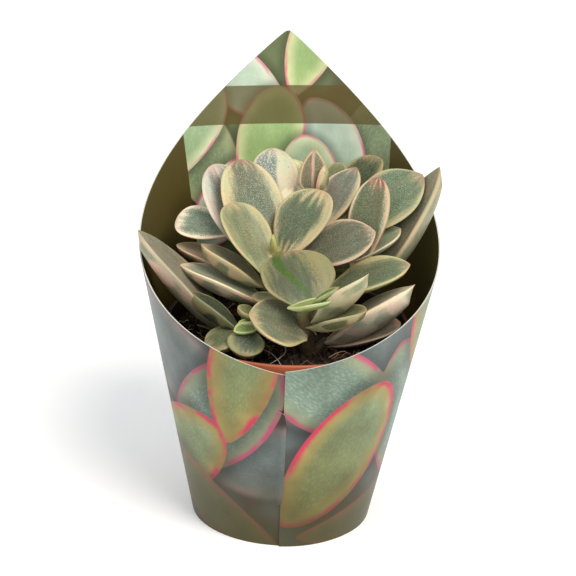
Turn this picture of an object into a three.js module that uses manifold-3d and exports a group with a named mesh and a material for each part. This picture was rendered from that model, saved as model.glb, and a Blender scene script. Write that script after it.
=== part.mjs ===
// Potted variegated jade plant in a nursery pot, standing in a wrapped cone of printed card.
// Millimetres, +Z up. The origin is the centre of the pot's foot on the ground, and -Y is the front,
// where the two ends of the card meet. Azimuths run from the front (0) towards +X (90).

import * as THREE from 'three';
import { mergeVertices } from 'three/addons/utils/BufferGeometryUtils.js';
import Module from 'manifold-3d';

const wasm = await Module();
wasm.setup();

// Driving dimensions

const CLEARANCE = 0.35; // gap left where one piece is cut by its neighbour

const CONE_FOOT_RADIUS = 39.5; // outside of the card at the ground
const CONE_HALF_ANGLE = 11.73; // degrees, between the wall and the vertical
const CARD_THICKNESS = 0.6;
const SEAM_LIFT = 0.95; // the outer end of the card stands this far over the inner end
const SEAM_LIFT_REACH = 50; // degrees of wall over which the outer end comes back to the cone
const SEAM_OVERLAP = 11; // degrees that the inner end runs on under the outer end
const CARD_COLUMNS = 96;
const CORNER_SIDE = -4.5; // the card's top corner, on the flat sheet, beside the back line
const CORNER_HEIGHT = 203.6; // the same corner above the foot arc, on the flat sheet
const CORNER_ROUND = 1.35;
const EDGE_RIGHT = [0.89, 0.0004]; // fall and bow of the top edge on the +X side of the corner
const EDGE_LEFT = [0.93, 0.0006]; // the same on the -X side
const EDGE_SEARCH = { start: 120, steps: 60, rate: 0.8 }; // how the edge's height is closed in on

const POT_HEIGHT = 90;
const POT_FOOT_RADIUS = 38.3;
const POT_SHOULDER_RADIUS = 50.2; // wall just under the rim band
const POT_RIM_RADIUS = 52.5;
const POT_BAND_HEIGHT = 8;
const POT_WALL = 1.1;
const POT_LIP = 1.7;
const POT_FLOOR = 1.4;
const POT_EDGE = 0.5; // bevel on the edges of the rim band
const POT_FOOT_BEVEL = 0.8;
const POT_INNER_STEP = 2; // height of the slope inside, under the rim band
const POT_SIDES = 40;
const DRAIN_HOLES = 8;
const DRAIN_RADIUS = 3.2;
const DRAIN_CIRCLE = 27;
const DRAIN_SIDES = 8;

const SOIL_LEVEL = 83;
const SOIL_SIDES = 32;
const SOIL_RINGS = 6;
const SOIL_LUMP = 1.1; // height of the larger lumps
const SOIL_CRUMB = 0.6; // height of the smaller ones

const STEM_SIDES = 8;
const STALK_SIDES = 6;
const STALK_RADIUS = 1.9; // the short stalk that carries a leaf's foot
const STALK_DROP = 2; // a stalk leaves the stem from this far below its leaf's foot
const ROD_CAP = { reach: 0.4, width: 0.6 }; // blunt end of a stem or stalk, as shares of its radius

const LEAF_RINGS = 7;
const LEAF_SIDES = 8;
const LEAF_END = 0.997; // the last ring stops just short of the tip
const LEAF_NECK = 0.34; // width of a leaf's foot as a share of its full width
const LEAF_END_BODY = 0.35; // thickness at both ends of a leaf as a share of its full thickness
const UPPER_SHARE = 0.22; // share of the thickness above the margins, the rest is the keeled underside

// How a leaf ends: the exponent on its width past the widest part, larger where it is more pointed.
const TIP = { round: 0.46, blunt: 0.57, pointed: 0.78, sharp: 1.1 };

// Each shoot has a stem from its root in the soil to its growing tip, [x, y, z], with a radius at each end.
// Each leaf has: name, foot [x, y, z], azimuth, rise at the foot, bend along its length (both degrees),
// length, width, thickness, roll about its own axis (degrees), cup (how far the margins stand up),
// the place of its widest part as a share of its length, and its tip where that isn't blunt.

const SHOOTS = [
  {
    name: 'main',
    root: [-9, 2, 60],
    tip: [-6, -5, 124],
    radii: [4.6, 2.6],
    leaves: [
      ['upright', [-12, 4, 120], -157, 47, 2, 43, 29, 6, 5, 2.5, 0.5],
      ['inner_left', [-9, -14, 116], -135, 44, 0, 35, 21, 6, -8, 3, 0.6, TIP.round],
      ['inner_right', [-3, -4, 120], 138, 46, 2, 34, 28, 6, 0, 3, 0.55, TIP.round],
      ['broad_right', [3, -3, 118], 95, 22, 0, 36, 25, 6, 28, 2, 0.55, TIP.pointed],
      ['back_left', [-13, 9, 113], -137, 45, 6, 48, 28, 6, -5, 2, 0.55],
      ['mid_left', [-11, -8, 108], -101, 30, 0, 32, 20, 7, 8, 2.5, 0.5, TIP.pointed],
      ['low_left', [-9, -10, 101], -98, 22, -4, 41, 24, 7, 6, 2.5, 0.5, TIP.pointed],
      ['far_left', [-18, 11, 105], -95, 21, 0, 34, 19, 5, 0, 2, 0.5],
    ],
    young: [
      ['bud_near', [-7, -7, 121], -20, 82, 0, 11, 3.4, 2, 0, 0, 0.4, TIP.sharp],
      ['bud_far', [-7, -5, 121], 160, 80, 0, 10, 3.4, 2, 0, 0, 0.4, TIP.sharp],
    ],
  },
  {
    name: 'back',
    root: [1, 16, 60],
    tip: [0, 15, 125],
    radii: [4.2, 2.4],
    leaves: [
      ['centre', [-6, 18, 125], -172, 48, 4, 38, 21, 6, 0, 2, 0.6],
      ['rear', [0, 24, 125], -178, 40, 0, 34, 20, 5, 0, 2, 0.6],
      ['inner', [2, 7, 121], -178, 40, 0, 31, 18, 5, 0, 2, 0.55],
      ['side', [-25, 15, 124], -100, 5, 0, 26, 19, 6, -30, 2, 0.6, TIP.round],
    ],
    young: [],
  },
  {
    name: 'right',
    root: [20, 14, 60],
    tip: [10, 24, 140],
    radii: [4.6, 2.4],
    leaves: [
      ['inner', [12, 16, 126], 137, 46, 0, 33, 20, 5, 0, 2, 0.5, TIP.pointed],
      ['red_tip', [29, 2, 112], 152, 66, 0, 42, 18, 6, 6, 2, 0.6],
      ['broad', [24, 16, 125], 106, 36, 0, 42, 31, 6, 22, 2, 0.55, TIP.pointed],
      ['rear', [18, 29, 126], 134, 43, 0, 36, 21, 5, 0, 2, 0.6, TIP.round],
      ['hidden', [12, 31, 129], 150, 44, 0, 26, 14, 5, 0, 2, 0.5],
      ['tall', [33, 4, 103], 124, 48, 12, 63, 26, 10, -12, 3, 0.45, TIP.pointed],
      ['short', [28, 5, 117], 106, 32, 0, 24, 14, 5, 15, 2, 0.6, TIP.pointed],
    ],
    young: [
      ['bud_near', [9, 23, 139], 180, 76, 0, 21, 13, 4, 0, 0, 0.3, TIP.sharp],
      ['bud_far', [12, 23, 139], 60, 84, 0, 15, 9, 4, 0, 0, 0.35, TIP.sharp],
    ],
  },
  {
    name: 'front',
    root: [13, -12, 60],
    tip: [6, -33, 107],
    radii: [4.2, 2.6],
    leaves: [
      ['face', [9, -32, 108], -150, 42, -6, 28, 33, 6, -6, 2.5, 0.5, TIP.round],
      ['curled', [11, -28, 100], 74, 44, 8, 34, 22, 6, -12, 3, 0.5, TIP.sharp],
      ['cupped', [9, -30, 99], 66, 18, 14, 28, 20, 5, 0, 3, 0.5],
      ['nearest', [8, -32, 96.5], -74, 22, 0, 27, 27, 6, -26, 2, 0.5, TIP.pointed],
      ['low_right', [17, -19, 88], 86, 38, 0, 46, 27, 10, -8, 3, 0.45, TIP.sharp],
      ['lowest', [17, -17, 86], 92, 18, 0, 33, 21, 5, 10, 2, 0.5],
      ['shelf', [16, -11, 107], 90, 24, -4, 38, 21, 6, 18, 2, 0.55, TIP.pointed],
      ['under', [2, -16, 102], -95, 12, 0, 18, 14, 4, 0, 1, 0.5],
    ],
    young: [
      ['pair_far', [6, -37, 109], 82, 38, 0, 19, 7, 3, 0, 1, 0.5, TIP.pointed],
      ['pair_near', [0, -38, 110], 84, 12, 6, 19, 8, 3, 0, 1, 0.5, TIP.pointed],
    ],
  },
  {
    name: 'left',
    root: [-20, -20, 60],
    tip: [-18, -30, 98],
    radii: [3.6, 2.2],
    leaves: [
      ['long', [-24, -16, 88], -101, 46, 0, 60, 29, 9, 8, 3, 0.45, TIP.pointed],
      ['narrow', [-19, -27, 94], -98, 36, 0, 29, 16, 6, 8, 2, 0.45, TIP.sharp],
      ['lobe_left', [-18, -30, 96], -68, -20, 0, 18, 16, 7, -10, 1.5, 0.55],
      ['lobe_right', [-17, -30, 97], 0, -25, 0, 16, 16, 7, -6, 1, 0.55],
      ['olive', [-9, -22, 97], -80, 28, 0, 14, 14, 4, 0, 1, 0.5],
    ],
    young: [
      ['pair_near', [-12, -31, 98], -58, 6, -10, 12, 7, 3, -20, 1, 0.5, TIP.pointed],
      ['pair_far', [-10, -27, 98], -64, 14, -10, 12, 7, 3, 10, 1, 0.5, TIP.pointed],
    ],
  },
];

const COLOURS = {
  card: '#8d8f62',
  pot: '#a9593c',
  soil: '#2b211a',
  stem: '#8c9a5c',
  leaf: '#a7b394',
};

// Solids from geometry, and geometry from solids

/** Turns a closed three.js geometry into a solid. */
function toSolid(geometry) {
  const bare = geometry.clone();
  for (const name of Object.keys(bare.attributes)) {
    if (name !== 'position') bare.deleteAttribute(name);
  }
  const merged = mergeVertices(bare, 1e-5);
  const vertProperties = new Float32Array(merged.attributes.position.array);
  const triVerts = new Uint32Array(merged.index.array);
  return new wasm.Manifold(new wasm.Mesh({ numProp: 3, vertProperties, triVerts }));
}

/** Turns a solid back into geometry. */
function toGeometry(solid) {
  const mesh = solid.getMesh();
  const geometry = new THREE.BufferGeometry();
  geometry.setAttribute('position', new THREE.BufferAttribute(new Float32Array(mesh.vertProperties), 3));
  geometry.setIndex(new THREE.BufferAttribute(new Uint32Array(mesh.triVerts), 1));
  geometry.computeVertexNormals();
  return geometry;
}

/** The largest body of a solid, without the scraps that a cut may leave beside it. */
function largestBody(solid) {
  const bodies = solid.decompose();
  return bodies.reduce((best, body) => (body.volume() > best.volume() ? body : best));
}

/** A solid from rings of points, each ring closed, with a cap across the first and the last ring. */
function ringSolid(rings) {
  const sides = rings[0].length;
  const points = rings.flat();
  const index = [];
  for (let i = 0; i + 1 < rings.length; i += 1) {
    for (let k = 0; k < sides; k += 1) {
      const a = i * sides + k;
      const b = i * sides + ((k + 1) % sides);
      index.push(a, b, b + sides, a, b + sides, a + sides);
    }
  }
  for (const [ring, turn] of [[0, 1], [rings.length - 1, 0]]) {
    const centre = rings[ring].reduce((sum, p) => sum.add(p), new THREE.Vector3()).divideScalar(sides);
    points.push(centre);
    for (let k = 0; k < sides; k += 1) {
      const a = ring * sides + k;
      const b = ring * sides + ((k + 1) % sides);
      index.push(points.length - 1, turn ? b : a, turn ? a : b);
    }
  }
  const geometry = new THREE.BufferGeometry();
  geometry.setAttribute('position', new THREE.Float32BufferAttribute(points.flatMap((p) => p.toArray()), 3));
  geometry.setIndex(index);
  return toSolid(geometry);
}

const radians = THREE.MathUtils.degToRad;

// The wrapped card

const SLOPE = Math.tan(radians(CONE_HALF_ANGLE));
const UNROLL = Math.sin(radians(CONE_HALF_ANGLE)); // turn on the flat sheet for one turn round the cone

/** Height of the card's top edge at an angle from the front, found on the flat sheet. */
function edgeHeight(angle) {
  const fromBack = Math.PI - angle;
  let height = EDGE_SEARCH.start;
  for (let step = 0; step < EDGE_SEARCH.steps; step += 1) {
    const reach = (CONE_FOOT_RADIUS + SLOPE * height) / UNROLL;
    const side = reach * Math.sin(fromBack * UNROLL);
    const up = reach * Math.cos(fromBack * UNROLL) - CONE_FOOT_RADIUS / UNROLL;
    const away = Math.hypot(side - CORNER_SIDE, CORNER_ROUND);
    const [fall, bow] = side > CORNER_SIDE ? EDGE_RIGHT : EDGE_LEFT;
    const miss = CORNER_HEIGHT - fall * away - bow * away * away - up;
    height += EDGE_SEARCH.rate * miss * Math.cos(radians(CONE_HALF_ANGLE));
  }
  return height;
}

/** The card: one sheet rolled once round, its outer end lifted over its inner end at the front. */
function cardSolid() {
  const rings = [];
  const full = 2 * Math.PI + radians(SEAM_OVERLAP);
  for (let i = 0; i <= CARD_COLUMNS; i += 1) {
    const angle = (full * i) / CARD_COLUMNS;
    const eased = Math.max(0, 1 - angle / radians(SEAM_LIFT_REACH));
    const lift = SEAM_LIFT * eased * eased * (3 - 2 * eased);
    const height = edgeHeight(Math.min(angle, 2 * Math.PI));
    const corner = (out, z) => {
      const radius = CONE_FOOT_RADIUS + SLOPE * z + out;
      return new THREE.Vector3(radius * Math.sin(angle), -radius * Math.cos(angle), z);
    };
    rings.push([
      corner(lift, 0),
      corner(lift - CARD_THICKNESS, 0),
      corner(lift - CARD_THICKNESS, height),
      corner(lift, height),
    ]);
  }
  return ringSolid(rings);
}

// The nursery pot

/** Outside radius of the pot's plain wall at a height. */
function potWallRadius(z) {
  const shoulder = POT_HEIGHT - POT_BAND_HEIGHT;
  return POT_FOOT_RADIUS + ((POT_SHOULDER_RADIUS - POT_FOOT_RADIUS) * z) / shoulder;
}

/** The pot: a thin tapered wall, a stepped rim band and a floor with drain holes round a solid middle. */
function potSolid() {
  const shoulder = POT_HEIGHT - POT_BAND_HEIGHT;
  const profile = [
    [0, 0],
    [potWallRadius(0) - POT_FOOT_BEVEL, 0],
    [potWallRadius(POT_FOOT_BEVEL), POT_FOOT_BEVEL],
    [POT_SHOULDER_RADIUS, shoulder],
    [POT_RIM_RADIUS - POT_EDGE, shoulder + POT_EDGE],
    [POT_RIM_RADIUS, POT_HEIGHT - POT_EDGE],
    [POT_RIM_RADIUS - POT_EDGE, POT_HEIGHT],
    [POT_RIM_RADIUS - POT_LIP, POT_HEIGHT],
    [POT_RIM_RADIUS - POT_LIP - POT_EDGE, shoulder - POT_EDGE],
    [potWallRadius(shoulder - POT_INNER_STEP) - POT_WALL, shoulder - POT_INNER_STEP],
    [potWallRadius(POT_FLOOR) - POT_WALL, POT_FLOOR],
    [0, POT_FLOOR],
  ].map(([r, z]) => new THREE.Vector2(r, z));
  const lathe = new THREE.LatheGeometry(profile, POT_SIDES).rotateX(Math.PI / 2);
  let pot = toSolid(lathe);
  for (let i = 0; i < DRAIN_HOLES; i += 1) {
    const angle = (2 * Math.PI * (i + 0.5)) / DRAIN_HOLES;
    const hole = new THREE.CylinderGeometry(DRAIN_RADIUS, DRAIN_RADIUS, 4 * POT_FLOOR, DRAIN_SIDES);
    hole.rotateX(Math.PI / 2);
    hole.translate(DRAIN_CIRCLE * Math.cos(angle), DRAIN_CIRCLE * Math.sin(angle), POT_FLOOR / 2);
    pot = pot.subtract(toSolid(hole));
  }
  return pot;
}

// The soil

/** Height of the soil's crumbly top at a place. */
function soilHeight(x, y) {
  const lumps = SOIL_LUMP * Math.sin(x / 6.1 + 1) * Math.cos(y / 5.3 + 0.4);
  const crumbs = SOIL_CRUMB * Math.sin(x / 2.7 + 2) * Math.sin(y / 3.1);
  return SOIL_LEVEL + lumps + crumbs;
}

/** The soil: it fills the pot from its floor, a hair inside the wall, up to its lumpy top. */
function soilSolid() {
  const rings = [];
  const inside = (z) => potWallRadius(z) - POT_WALL - CLEARANCE;
  const ring = (height, radius) => {
    const points = [];
    for (let k = 0; k < SOIL_SIDES; k += 1) {
      const angle = (2 * Math.PI * k) / SOIL_SIDES;
      const x = radius * Math.cos(angle);
      const y = radius * Math.sin(angle);
      points.push(new THREE.Vector3(x, y, height(x, y)));
    }
    return points;
  };
  const foot = POT_FLOOR + CLEARANCE;
  const shoulder = POT_HEIGHT - POT_BAND_HEIGHT - POT_INNER_STEP;
  rings.push(ring(() => foot, inside(foot)));
  rings.push(ring(() => shoulder, inside(shoulder)));
  for (let i = 0; i < SOIL_RINGS; i += 1) {
    rings.push(ring(soilHeight, inside(shoulder) * (1 - (i + 0.05) / SOIL_RINGS)));
  }
  return ringSolid(rings);
}

// The plant

/** Half width of a leaf along its length, as a share of its greatest half width. */
function leafOutline(s, widest, end) {
  if (s < widest) {
    return LEAF_NECK + (1 - LEAF_NECK) * Math.sin((Math.PI / 2) * (s / widest)) ** 1.3;
  }
  return Math.max(0, 1 - ((s - widest) / (1 - widest)) ** 2.3) ** end;
}

/** A thick leaf: a flat or cupped upper face over a keeled underside, carried along an arc, grown by a margin. */
function leafSolid(leaf, grow = 0) {
  const [, foot, azimuth, rise, bend, length, width, thick, roll, cup, widest, end = TIP.blunt] = leaf;
  const turn = radians(azimuth);
  const ahead = new THREE.Vector3(Math.sin(turn), -Math.cos(turn), 0);
  const across = new THREE.Vector3(Math.cos(turn), Math.sin(turn), 0);
  const up = new THREE.Vector3(0, 0, 1);
  const start = radians(rise);
  const arc = Math.abs(bend) < 0.1 ? 1e-4 : radians(bend);
  const tilt = radians(roll);
  const rings = [];
  for (let i = 0; i <= LEAF_RINGS; i += 1) {
    const s = Math.min(LEAF_END, Math.sin(((i / LEAF_RINGS) * Math.PI) / 2) ** 1.1);
    const pitch = start + arc * s;
    const reach = (length * (Math.sin(pitch) - Math.sin(start))) / arc;
    const climb = (length * (Math.cos(start) - Math.cos(pitch))) / arc;
    const middle = new THREE.Vector3(...foot).addScaledVector(ahead, reach).addScaledVector(up, climb);
    const forward = ahead.clone().multiplyScalar(Math.cos(pitch)).addScaledVector(up, Math.sin(pitch));
    const flat = ahead.clone().multiplyScalar(-Math.sin(pitch)).addScaledVector(up, Math.cos(pitch));
    const side = across.clone().multiplyScalar(Math.cos(tilt)).addScaledVector(flat, Math.sin(tilt));
    const face = flat.clone().multiplyScalar(Math.cos(tilt)).addScaledVector(across, -Math.sin(tilt));
    const share = leafOutline(s, widest, end);
    const half = (width / 2) * share + grow;
    const swell = LEAF_END_BODY + (1 - LEAF_END_BODY) * Math.sin(Math.PI * s) ** 0.7;
    const body = thick * swell * Math.min(1, 2 * share);
    if (i === 0) middle.addScaledVector(forward, -grow);
    if (i === LEAF_RINGS) middle.addScaledVector(forward, grow);
    const ring = [];
    for (let k = 0; k < LEAF_SIDES; k += 1) {
      const round = (2 * Math.PI * k) / LEAF_SIDES;
      const x = half * Math.cos(round);
      const lift = Math.sin(round);
      const level = lift * (body * (lift > 0 ? UPPER_SHARE : 1 - UPPER_SHARE) + grow);
      const cupped = cup * (x / (width / 2)) ** 2;
      ring.push(middle.clone().addScaledVector(side, x).addScaledVector(face, level + cupped));
    }
    rings.push(ring);
  }
  return ringSolid(rings);
}

/** A round rod between two points, its radius changing evenly, with a blunt cap at each end. */
function rodSolid(from, to, [radiusFrom, radiusTo], sides, grow = 0) {
  const start = new THREE.Vector3(...from);
  const end = new THREE.Vector3(...to);
  const forward = end.clone().sub(start).normalize();
  const helper = Math.abs(forward.x) < 0.9 ? new THREE.Vector3(1, 0, 0) : new THREE.Vector3(0, 1, 0);
  const side = helper.cross(forward).normalize();
  const other = forward.clone().cross(side);
  const ring = (centre, radius) => {
    const points = [];
    for (let k = 0; k < sides; k += 1) {
      const round = (2 * Math.PI * k) / sides;
      points.push(centre.clone()
        .addScaledVector(side, radius * Math.cos(round))
        .addScaledVector(other, radius * Math.sin(round)));
    }
    return points;
  };
  const foot = start.clone().addScaledVector(forward, -grow - radiusFrom * ROD_CAP.reach);
  const head = end.clone().addScaledVector(forward, grow + radiusTo * ROD_CAP.reach);
  return ringSolid([
    ring(foot, (radiusFrom + grow) * ROD_CAP.width),
    ring(start, radiusFrom + grow),
    ring(end, radiusTo + grow),
    ring(head, (radiusTo + grow) * ROD_CAP.width),
  ]);
}

/** The nearest point on a shoot's stem from which a stalk can climb to a leaf's foot. */
function stalkStart(shoot, foot) {
  const root = new THREE.Vector3(...shoot.root);
  const tip = new THREE.Vector3(...shoot.tip);
  const line = new THREE.Line3(root, tip);
  const below = new THREE.Vector3(...foot).sub(new THREE.Vector3(0, 0, STALK_DROP));
  return line.closestPointToPoint(below, true, new THREE.Vector3());
}

/** A shoot's stem with the stalks that carry its leaves and the young leaves at its tip. */
function stemSolid(shoot, grow = 0) {
  let stem = rodSolid(shoot.root, shoot.tip, shoot.radii, STEM_SIDES, grow);
  for (const leaf of [...shoot.leaves, ...shoot.young]) {
    const start = stalkStart(shoot, leaf[1]);
    const stalk = rodSolid(start.toArray(), leaf[1], [STALK_RADIUS, STALK_RADIUS], STALK_SIDES, grow);
    stem = stem.add(stalk);
  }
  for (const leaf of shoot.young) {
    stem = stem.add(leafSolid(leaf, grow));
  }
  return stem;
}

// The assembly

const plant = new THREE.Group();

/** Adds a named mesh of a solid to the assembly. */
function addPiece(name, solid, colour, roughness) {
  const material = new THREE.MeshStandardMaterial({ color: colour, roughness, metalness: 0 });
  const mesh = new THREE.Mesh(toGeometry(solid), material);
  mesh.name = name;
  plant.add(mesh);
}

addPiece('card_sleeve', cardSolid(), COLOURS.card, 0.45);
addPiece('nursery_pot', potSolid(), COLOURS.pot, 0.6);

const stems = SHOOTS.map((shoot) => stemSolid(shoot));
const grownStems = SHOOTS.map((shoot) => stemSolid(shoot, CLEARANCE));
const soil = grownStems.reduce((rest, stem) => rest.subtract(stem), soilSolid());
addPiece('soil', largestBody(soil), COLOURS.soil, 0.95);

const taken = [];
SHOOTS.forEach((shoot, i) => {
  const others = grownStems.slice(0, i);
  const stem = others.reduce((rest, other) => rest.subtract(other), stems[i]);
  addPiece(`stem_${shoot.name}`, largestBody(stem), COLOURS.stem, 0.6);
});
for (const shoot of SHOOTS) {
  for (const leaf of shoot.leaves) {
    let blade = leafSolid(leaf);
    for (const other of [...grownStems, ...taken]) {
      blade = blade.subtract(other);
    }
    addPiece(`leaf_${shoot.name}_${leaf[0]}`, largestBody(blade), COLOURS.leaf, 0.5);
    taken.push(leafSolid(leaf, CLEARANCE));
  }
}

export default plant;
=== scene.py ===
"""Finished pieces of a potted variegated jade plant in a wrapped cone of printed card.

Sizes in this file are millimetres, with +Z up, the origin at the centre of the pot's foot and -Y to the
front, where the two ends of the card meet. Meshes are stored in metres. Azimuths run from the front (0)
towards +X (90).
"""
import logging
import math
from dataclasses import dataclass
from enum import Enum

import bpy
import numpy as np
from mathutils import Matrix, Vector


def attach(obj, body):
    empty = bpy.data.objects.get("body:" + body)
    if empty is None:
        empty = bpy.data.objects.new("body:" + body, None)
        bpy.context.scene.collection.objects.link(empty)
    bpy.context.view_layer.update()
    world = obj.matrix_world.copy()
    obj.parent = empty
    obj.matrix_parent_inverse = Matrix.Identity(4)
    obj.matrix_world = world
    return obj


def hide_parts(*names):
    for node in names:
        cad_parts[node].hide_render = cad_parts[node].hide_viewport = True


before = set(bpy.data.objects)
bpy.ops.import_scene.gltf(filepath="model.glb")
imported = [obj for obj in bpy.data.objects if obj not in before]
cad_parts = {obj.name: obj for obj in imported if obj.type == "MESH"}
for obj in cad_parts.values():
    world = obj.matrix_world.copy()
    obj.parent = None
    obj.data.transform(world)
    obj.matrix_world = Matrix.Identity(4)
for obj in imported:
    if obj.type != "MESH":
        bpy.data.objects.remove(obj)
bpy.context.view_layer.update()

MM = 0.001
BODY = "root"
NOISE_SPAN = (0.3, 0.7)  # nearly all of a finish's noise lies in between
Socket = bpy.types.NodeSocket
Colour = Socket | str | tuple[float, float, float, float]

logging.basicConfig(level=logging.INFO, format="%(message)s")
log = logging.getLogger("jade")


# Colour and number helpers

def linear(hex_colour: str) -> tuple[float, float, float, float]:
    """Turns an sRGB hex colour into linear RGBA.

    Args:
        hex_colour: a colour such as "#8a7f60".

    Returns:
        Linear red, green, blue and an alpha of 1.
    """
    parts = [int(hex_colour[i:i + 2], 16) / 255 for i in (1, 3, 5)]
    bent = [c / 12.92 if c <= 0.04045 else ((c + 0.055) / 1.055) ** 2.4 for c in parts]
    return bent[0], bent[1], bent[2], 1.0


def smooth(low: float, high: float, x: np.ndarray) -> np.ndarray:
    """Eases from 0 at low to 1 at high, with the formula 3t^2 - 2t^3.

    Args:
        low: where the step starts.
        high: where it ends.
        x: values to ease.

    Returns:
        The eased values.
    """
    t = np.clip((x - low) / (high - low), 0, 1)
    return t * t * (3 - 2 * t)


def mixed(colours: np.ndarray, hex_colour: str, share: np.ndarray) -> np.ndarray:
    """Blends a colour into an array of colours, by a share for each point."""
    return colours + (np.array(linear(hex_colour)) - colours) * share[..., None]


def seeded(name: str) -> np.random.Generator:
    """Gives each piece its own repeatable random numbers, drawn from its name."""
    return np.random.default_rng([ord(letter) for letter in name])


class Waves:
    """Smooth seeded noise: a sum of plane sine waves with random directions, lengths and phases."""

    lengths: tuple[float, float] = (0.6, 1.7)  # shortest and longest, as shares of the typical length
    gain: float = 1.2  # brings the sum to about -1 to 1

    def __init__(self, name: str, size: float, count: int, dims: int = 2) -> None:
        """Draws the waves.

        Args:
            name: seeds the draw.
            size: typical length of a wave.
            count: number of waves.
            dims: 1 along a line, 2 over a surface.
        """
        rng = seeded(name)
        ways = rng.normal(size=(count, dims))
        ways /= np.linalg.norm(ways, axis=1, keepdims=True)
        self.ways = ways * (2 * math.pi / (size * rng.uniform(*self.lengths, (count, 1))))
        self.phases = rng.uniform(0, 2 * math.pi, count)

    def __call__(self, *axes: np.ndarray) -> np.ndarray:
        """Reads the noise, about -1 to 1, at coordinates given one array an axis."""
        turns = sum(axis[..., None] * self.ways[:, i] for i, axis in enumerate(axes))
        return np.sin(turns + self.phases).sum(-1) / math.sqrt(len(self.phases) / self.gain)


# Mesh helpers

def grid_faces(rows: int, columns: int, closed: bool = True) -> np.ndarray:
    """Quads between neighbouring rows and columns of a grid stored row by row.

    Args:
        rows: number of rows.
        columns: points in a row.
        closed: whether the last column joins the first.

    Returns:
        Corner numbers, four a face.
    """
    across = columns if closed else columns - 1
    row, column = np.meshgrid(np.arange(rows - 1), np.arange(across), indexing="ij")
    a = row * columns + column
    b = row * columns + (column + 1) % columns
    return np.stack([a, b, b + columns, a + columns], -1).reshape(-1, 4)


def fan_faces(centre: int, first: int, columns: int, outward: bool) -> np.ndarray:
    """Triangles from a centre point to a closed ring.

    Args:
        centre: number of the centre point.
        first: number of the ring's first point.
        columns: points in the ring.
        outward: whether the fan turns the same way as the ring.

    Returns:
        Corner numbers, three a face.
    """
    k = np.arange(columns)
    near, far = first + k, first + (k + 1) % columns
    order = (near, far) if outward else (far, near)
    return np.stack([np.full(columns, centre), *order], -1)


def capped_faces(rows: int, columns: int, turned: bool = False) -> list[np.ndarray]:
    """Faces of a closed surface: rings of points, and then one end point before and one after them.

    Args:
        rows: number of rings.
        columns: points in a ring.
        turned: whether the rings run the other way round.

    Returns:
        The face groups, for points stored ring by ring with the two end points last.
    """
    count = rows * columns
    wall = grid_faces(rows, columns)
    return [
        wall[:, ::-1] if turned else wall,
        fan_faces(count, 0, columns, turned),
        fan_faces(count + 1, count - columns, columns, not turned),
    ]


def circle(sides: int) -> np.ndarray:
    """Angles of points spaced evenly round a circle, in radians."""
    return np.linspace(0, 2 * math.pi, sides, endpoint=False)


def make_mesh(name: str, points: np.ndarray, faces: list[np.ndarray],
              fields: dict[str, np.ndarray] | None = None) -> bpy.types.Mesh:
    """Puts points and faces into a mesh, with a smooth surface and named fields on its points.

    Args:
        name: the mesh's name.
        points: places in millimetres, (n, 3).
        faces: groups of faces, each an array with one row of corner numbers a face.
        fields: values for each point: numbers (n,), vectors (n, 3) or colours (n, 4).

    Returns:
        The new mesh, in metres.
    """
    mesh = bpy.data.meshes.new(name)
    corners = np.concatenate([group.ravel() for group in faces]).astype(np.int32)
    widths = np.concatenate([np.full(len(group), group.shape[1]) for group in faces])
    starts = np.concatenate([[0], np.cumsum(widths)[:-1]]).astype(np.int32)
    mesh.vertices.add(len(points))
    mesh.vertices.foreach_set("co", (points * MM).astype(np.float32).ravel())
    mesh.loops.add(len(corners))
    mesh.loops.foreach_set("vertex_index", corners)
    mesh.polygons.add(len(widths))
    mesh.polygons.foreach_set("loop_start", starts)
    mesh.update(calc_edges=True)
    mesh.shade_smooth()
    for key, values in (fields or {}).items():
        kind, slot = {1: ("FLOAT", "value"), 3: ("FLOAT_VECTOR", "vector"), 4: ("FLOAT_COLOR", "color")}[
            1 if values.ndim == 1 else values.shape[1]]
        layer = mesh.attributes.new(key, kind, "POINT")
        layer.data.foreach_set(slot, values.astype(np.float32).ravel())
    return mesh


def new_object(name: str, data: bpy.types.ID) -> bpy.types.Object:
    """Puts a mesh, lamp or camera in the scene, unturned at the origin."""
    thing = bpy.data.objects.new(name, data)
    bpy.context.scene.collection.objects.link(thing)
    return thing


def evaluated_mesh(piece: bpy.types.Object, name: str) -> bpy.types.Mesh:
    """Applies an object's modifiers.

    Args:
        piece: the object with its modifiers.
        name: name of the new mesh.

    Returns:
        A mesh of its own with the modifiers applied.
    """
    graph = bpy.context.evaluated_depsgraph_get()
    graph.update()
    mesh = bpy.data.meshes.new_from_object(piece.evaluated_get(graph))
    mesh.name = name
    return mesh


def add_piece(mesh: bpy.types.Mesh, materials: list[bpy.types.Material], slot: str,
              *stands_for: str) -> None:
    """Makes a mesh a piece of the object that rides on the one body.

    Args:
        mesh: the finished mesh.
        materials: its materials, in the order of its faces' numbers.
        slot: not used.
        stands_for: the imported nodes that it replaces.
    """
    piece = new_object(mesh.name, mesh)
    for material in materials:
        mesh.materials.append(material)
    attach(piece, BODY)
    if stands_for:
        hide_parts(*stands_for)
    log.info("%s: %d faces", piece.name, len(mesh.polygons))


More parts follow.
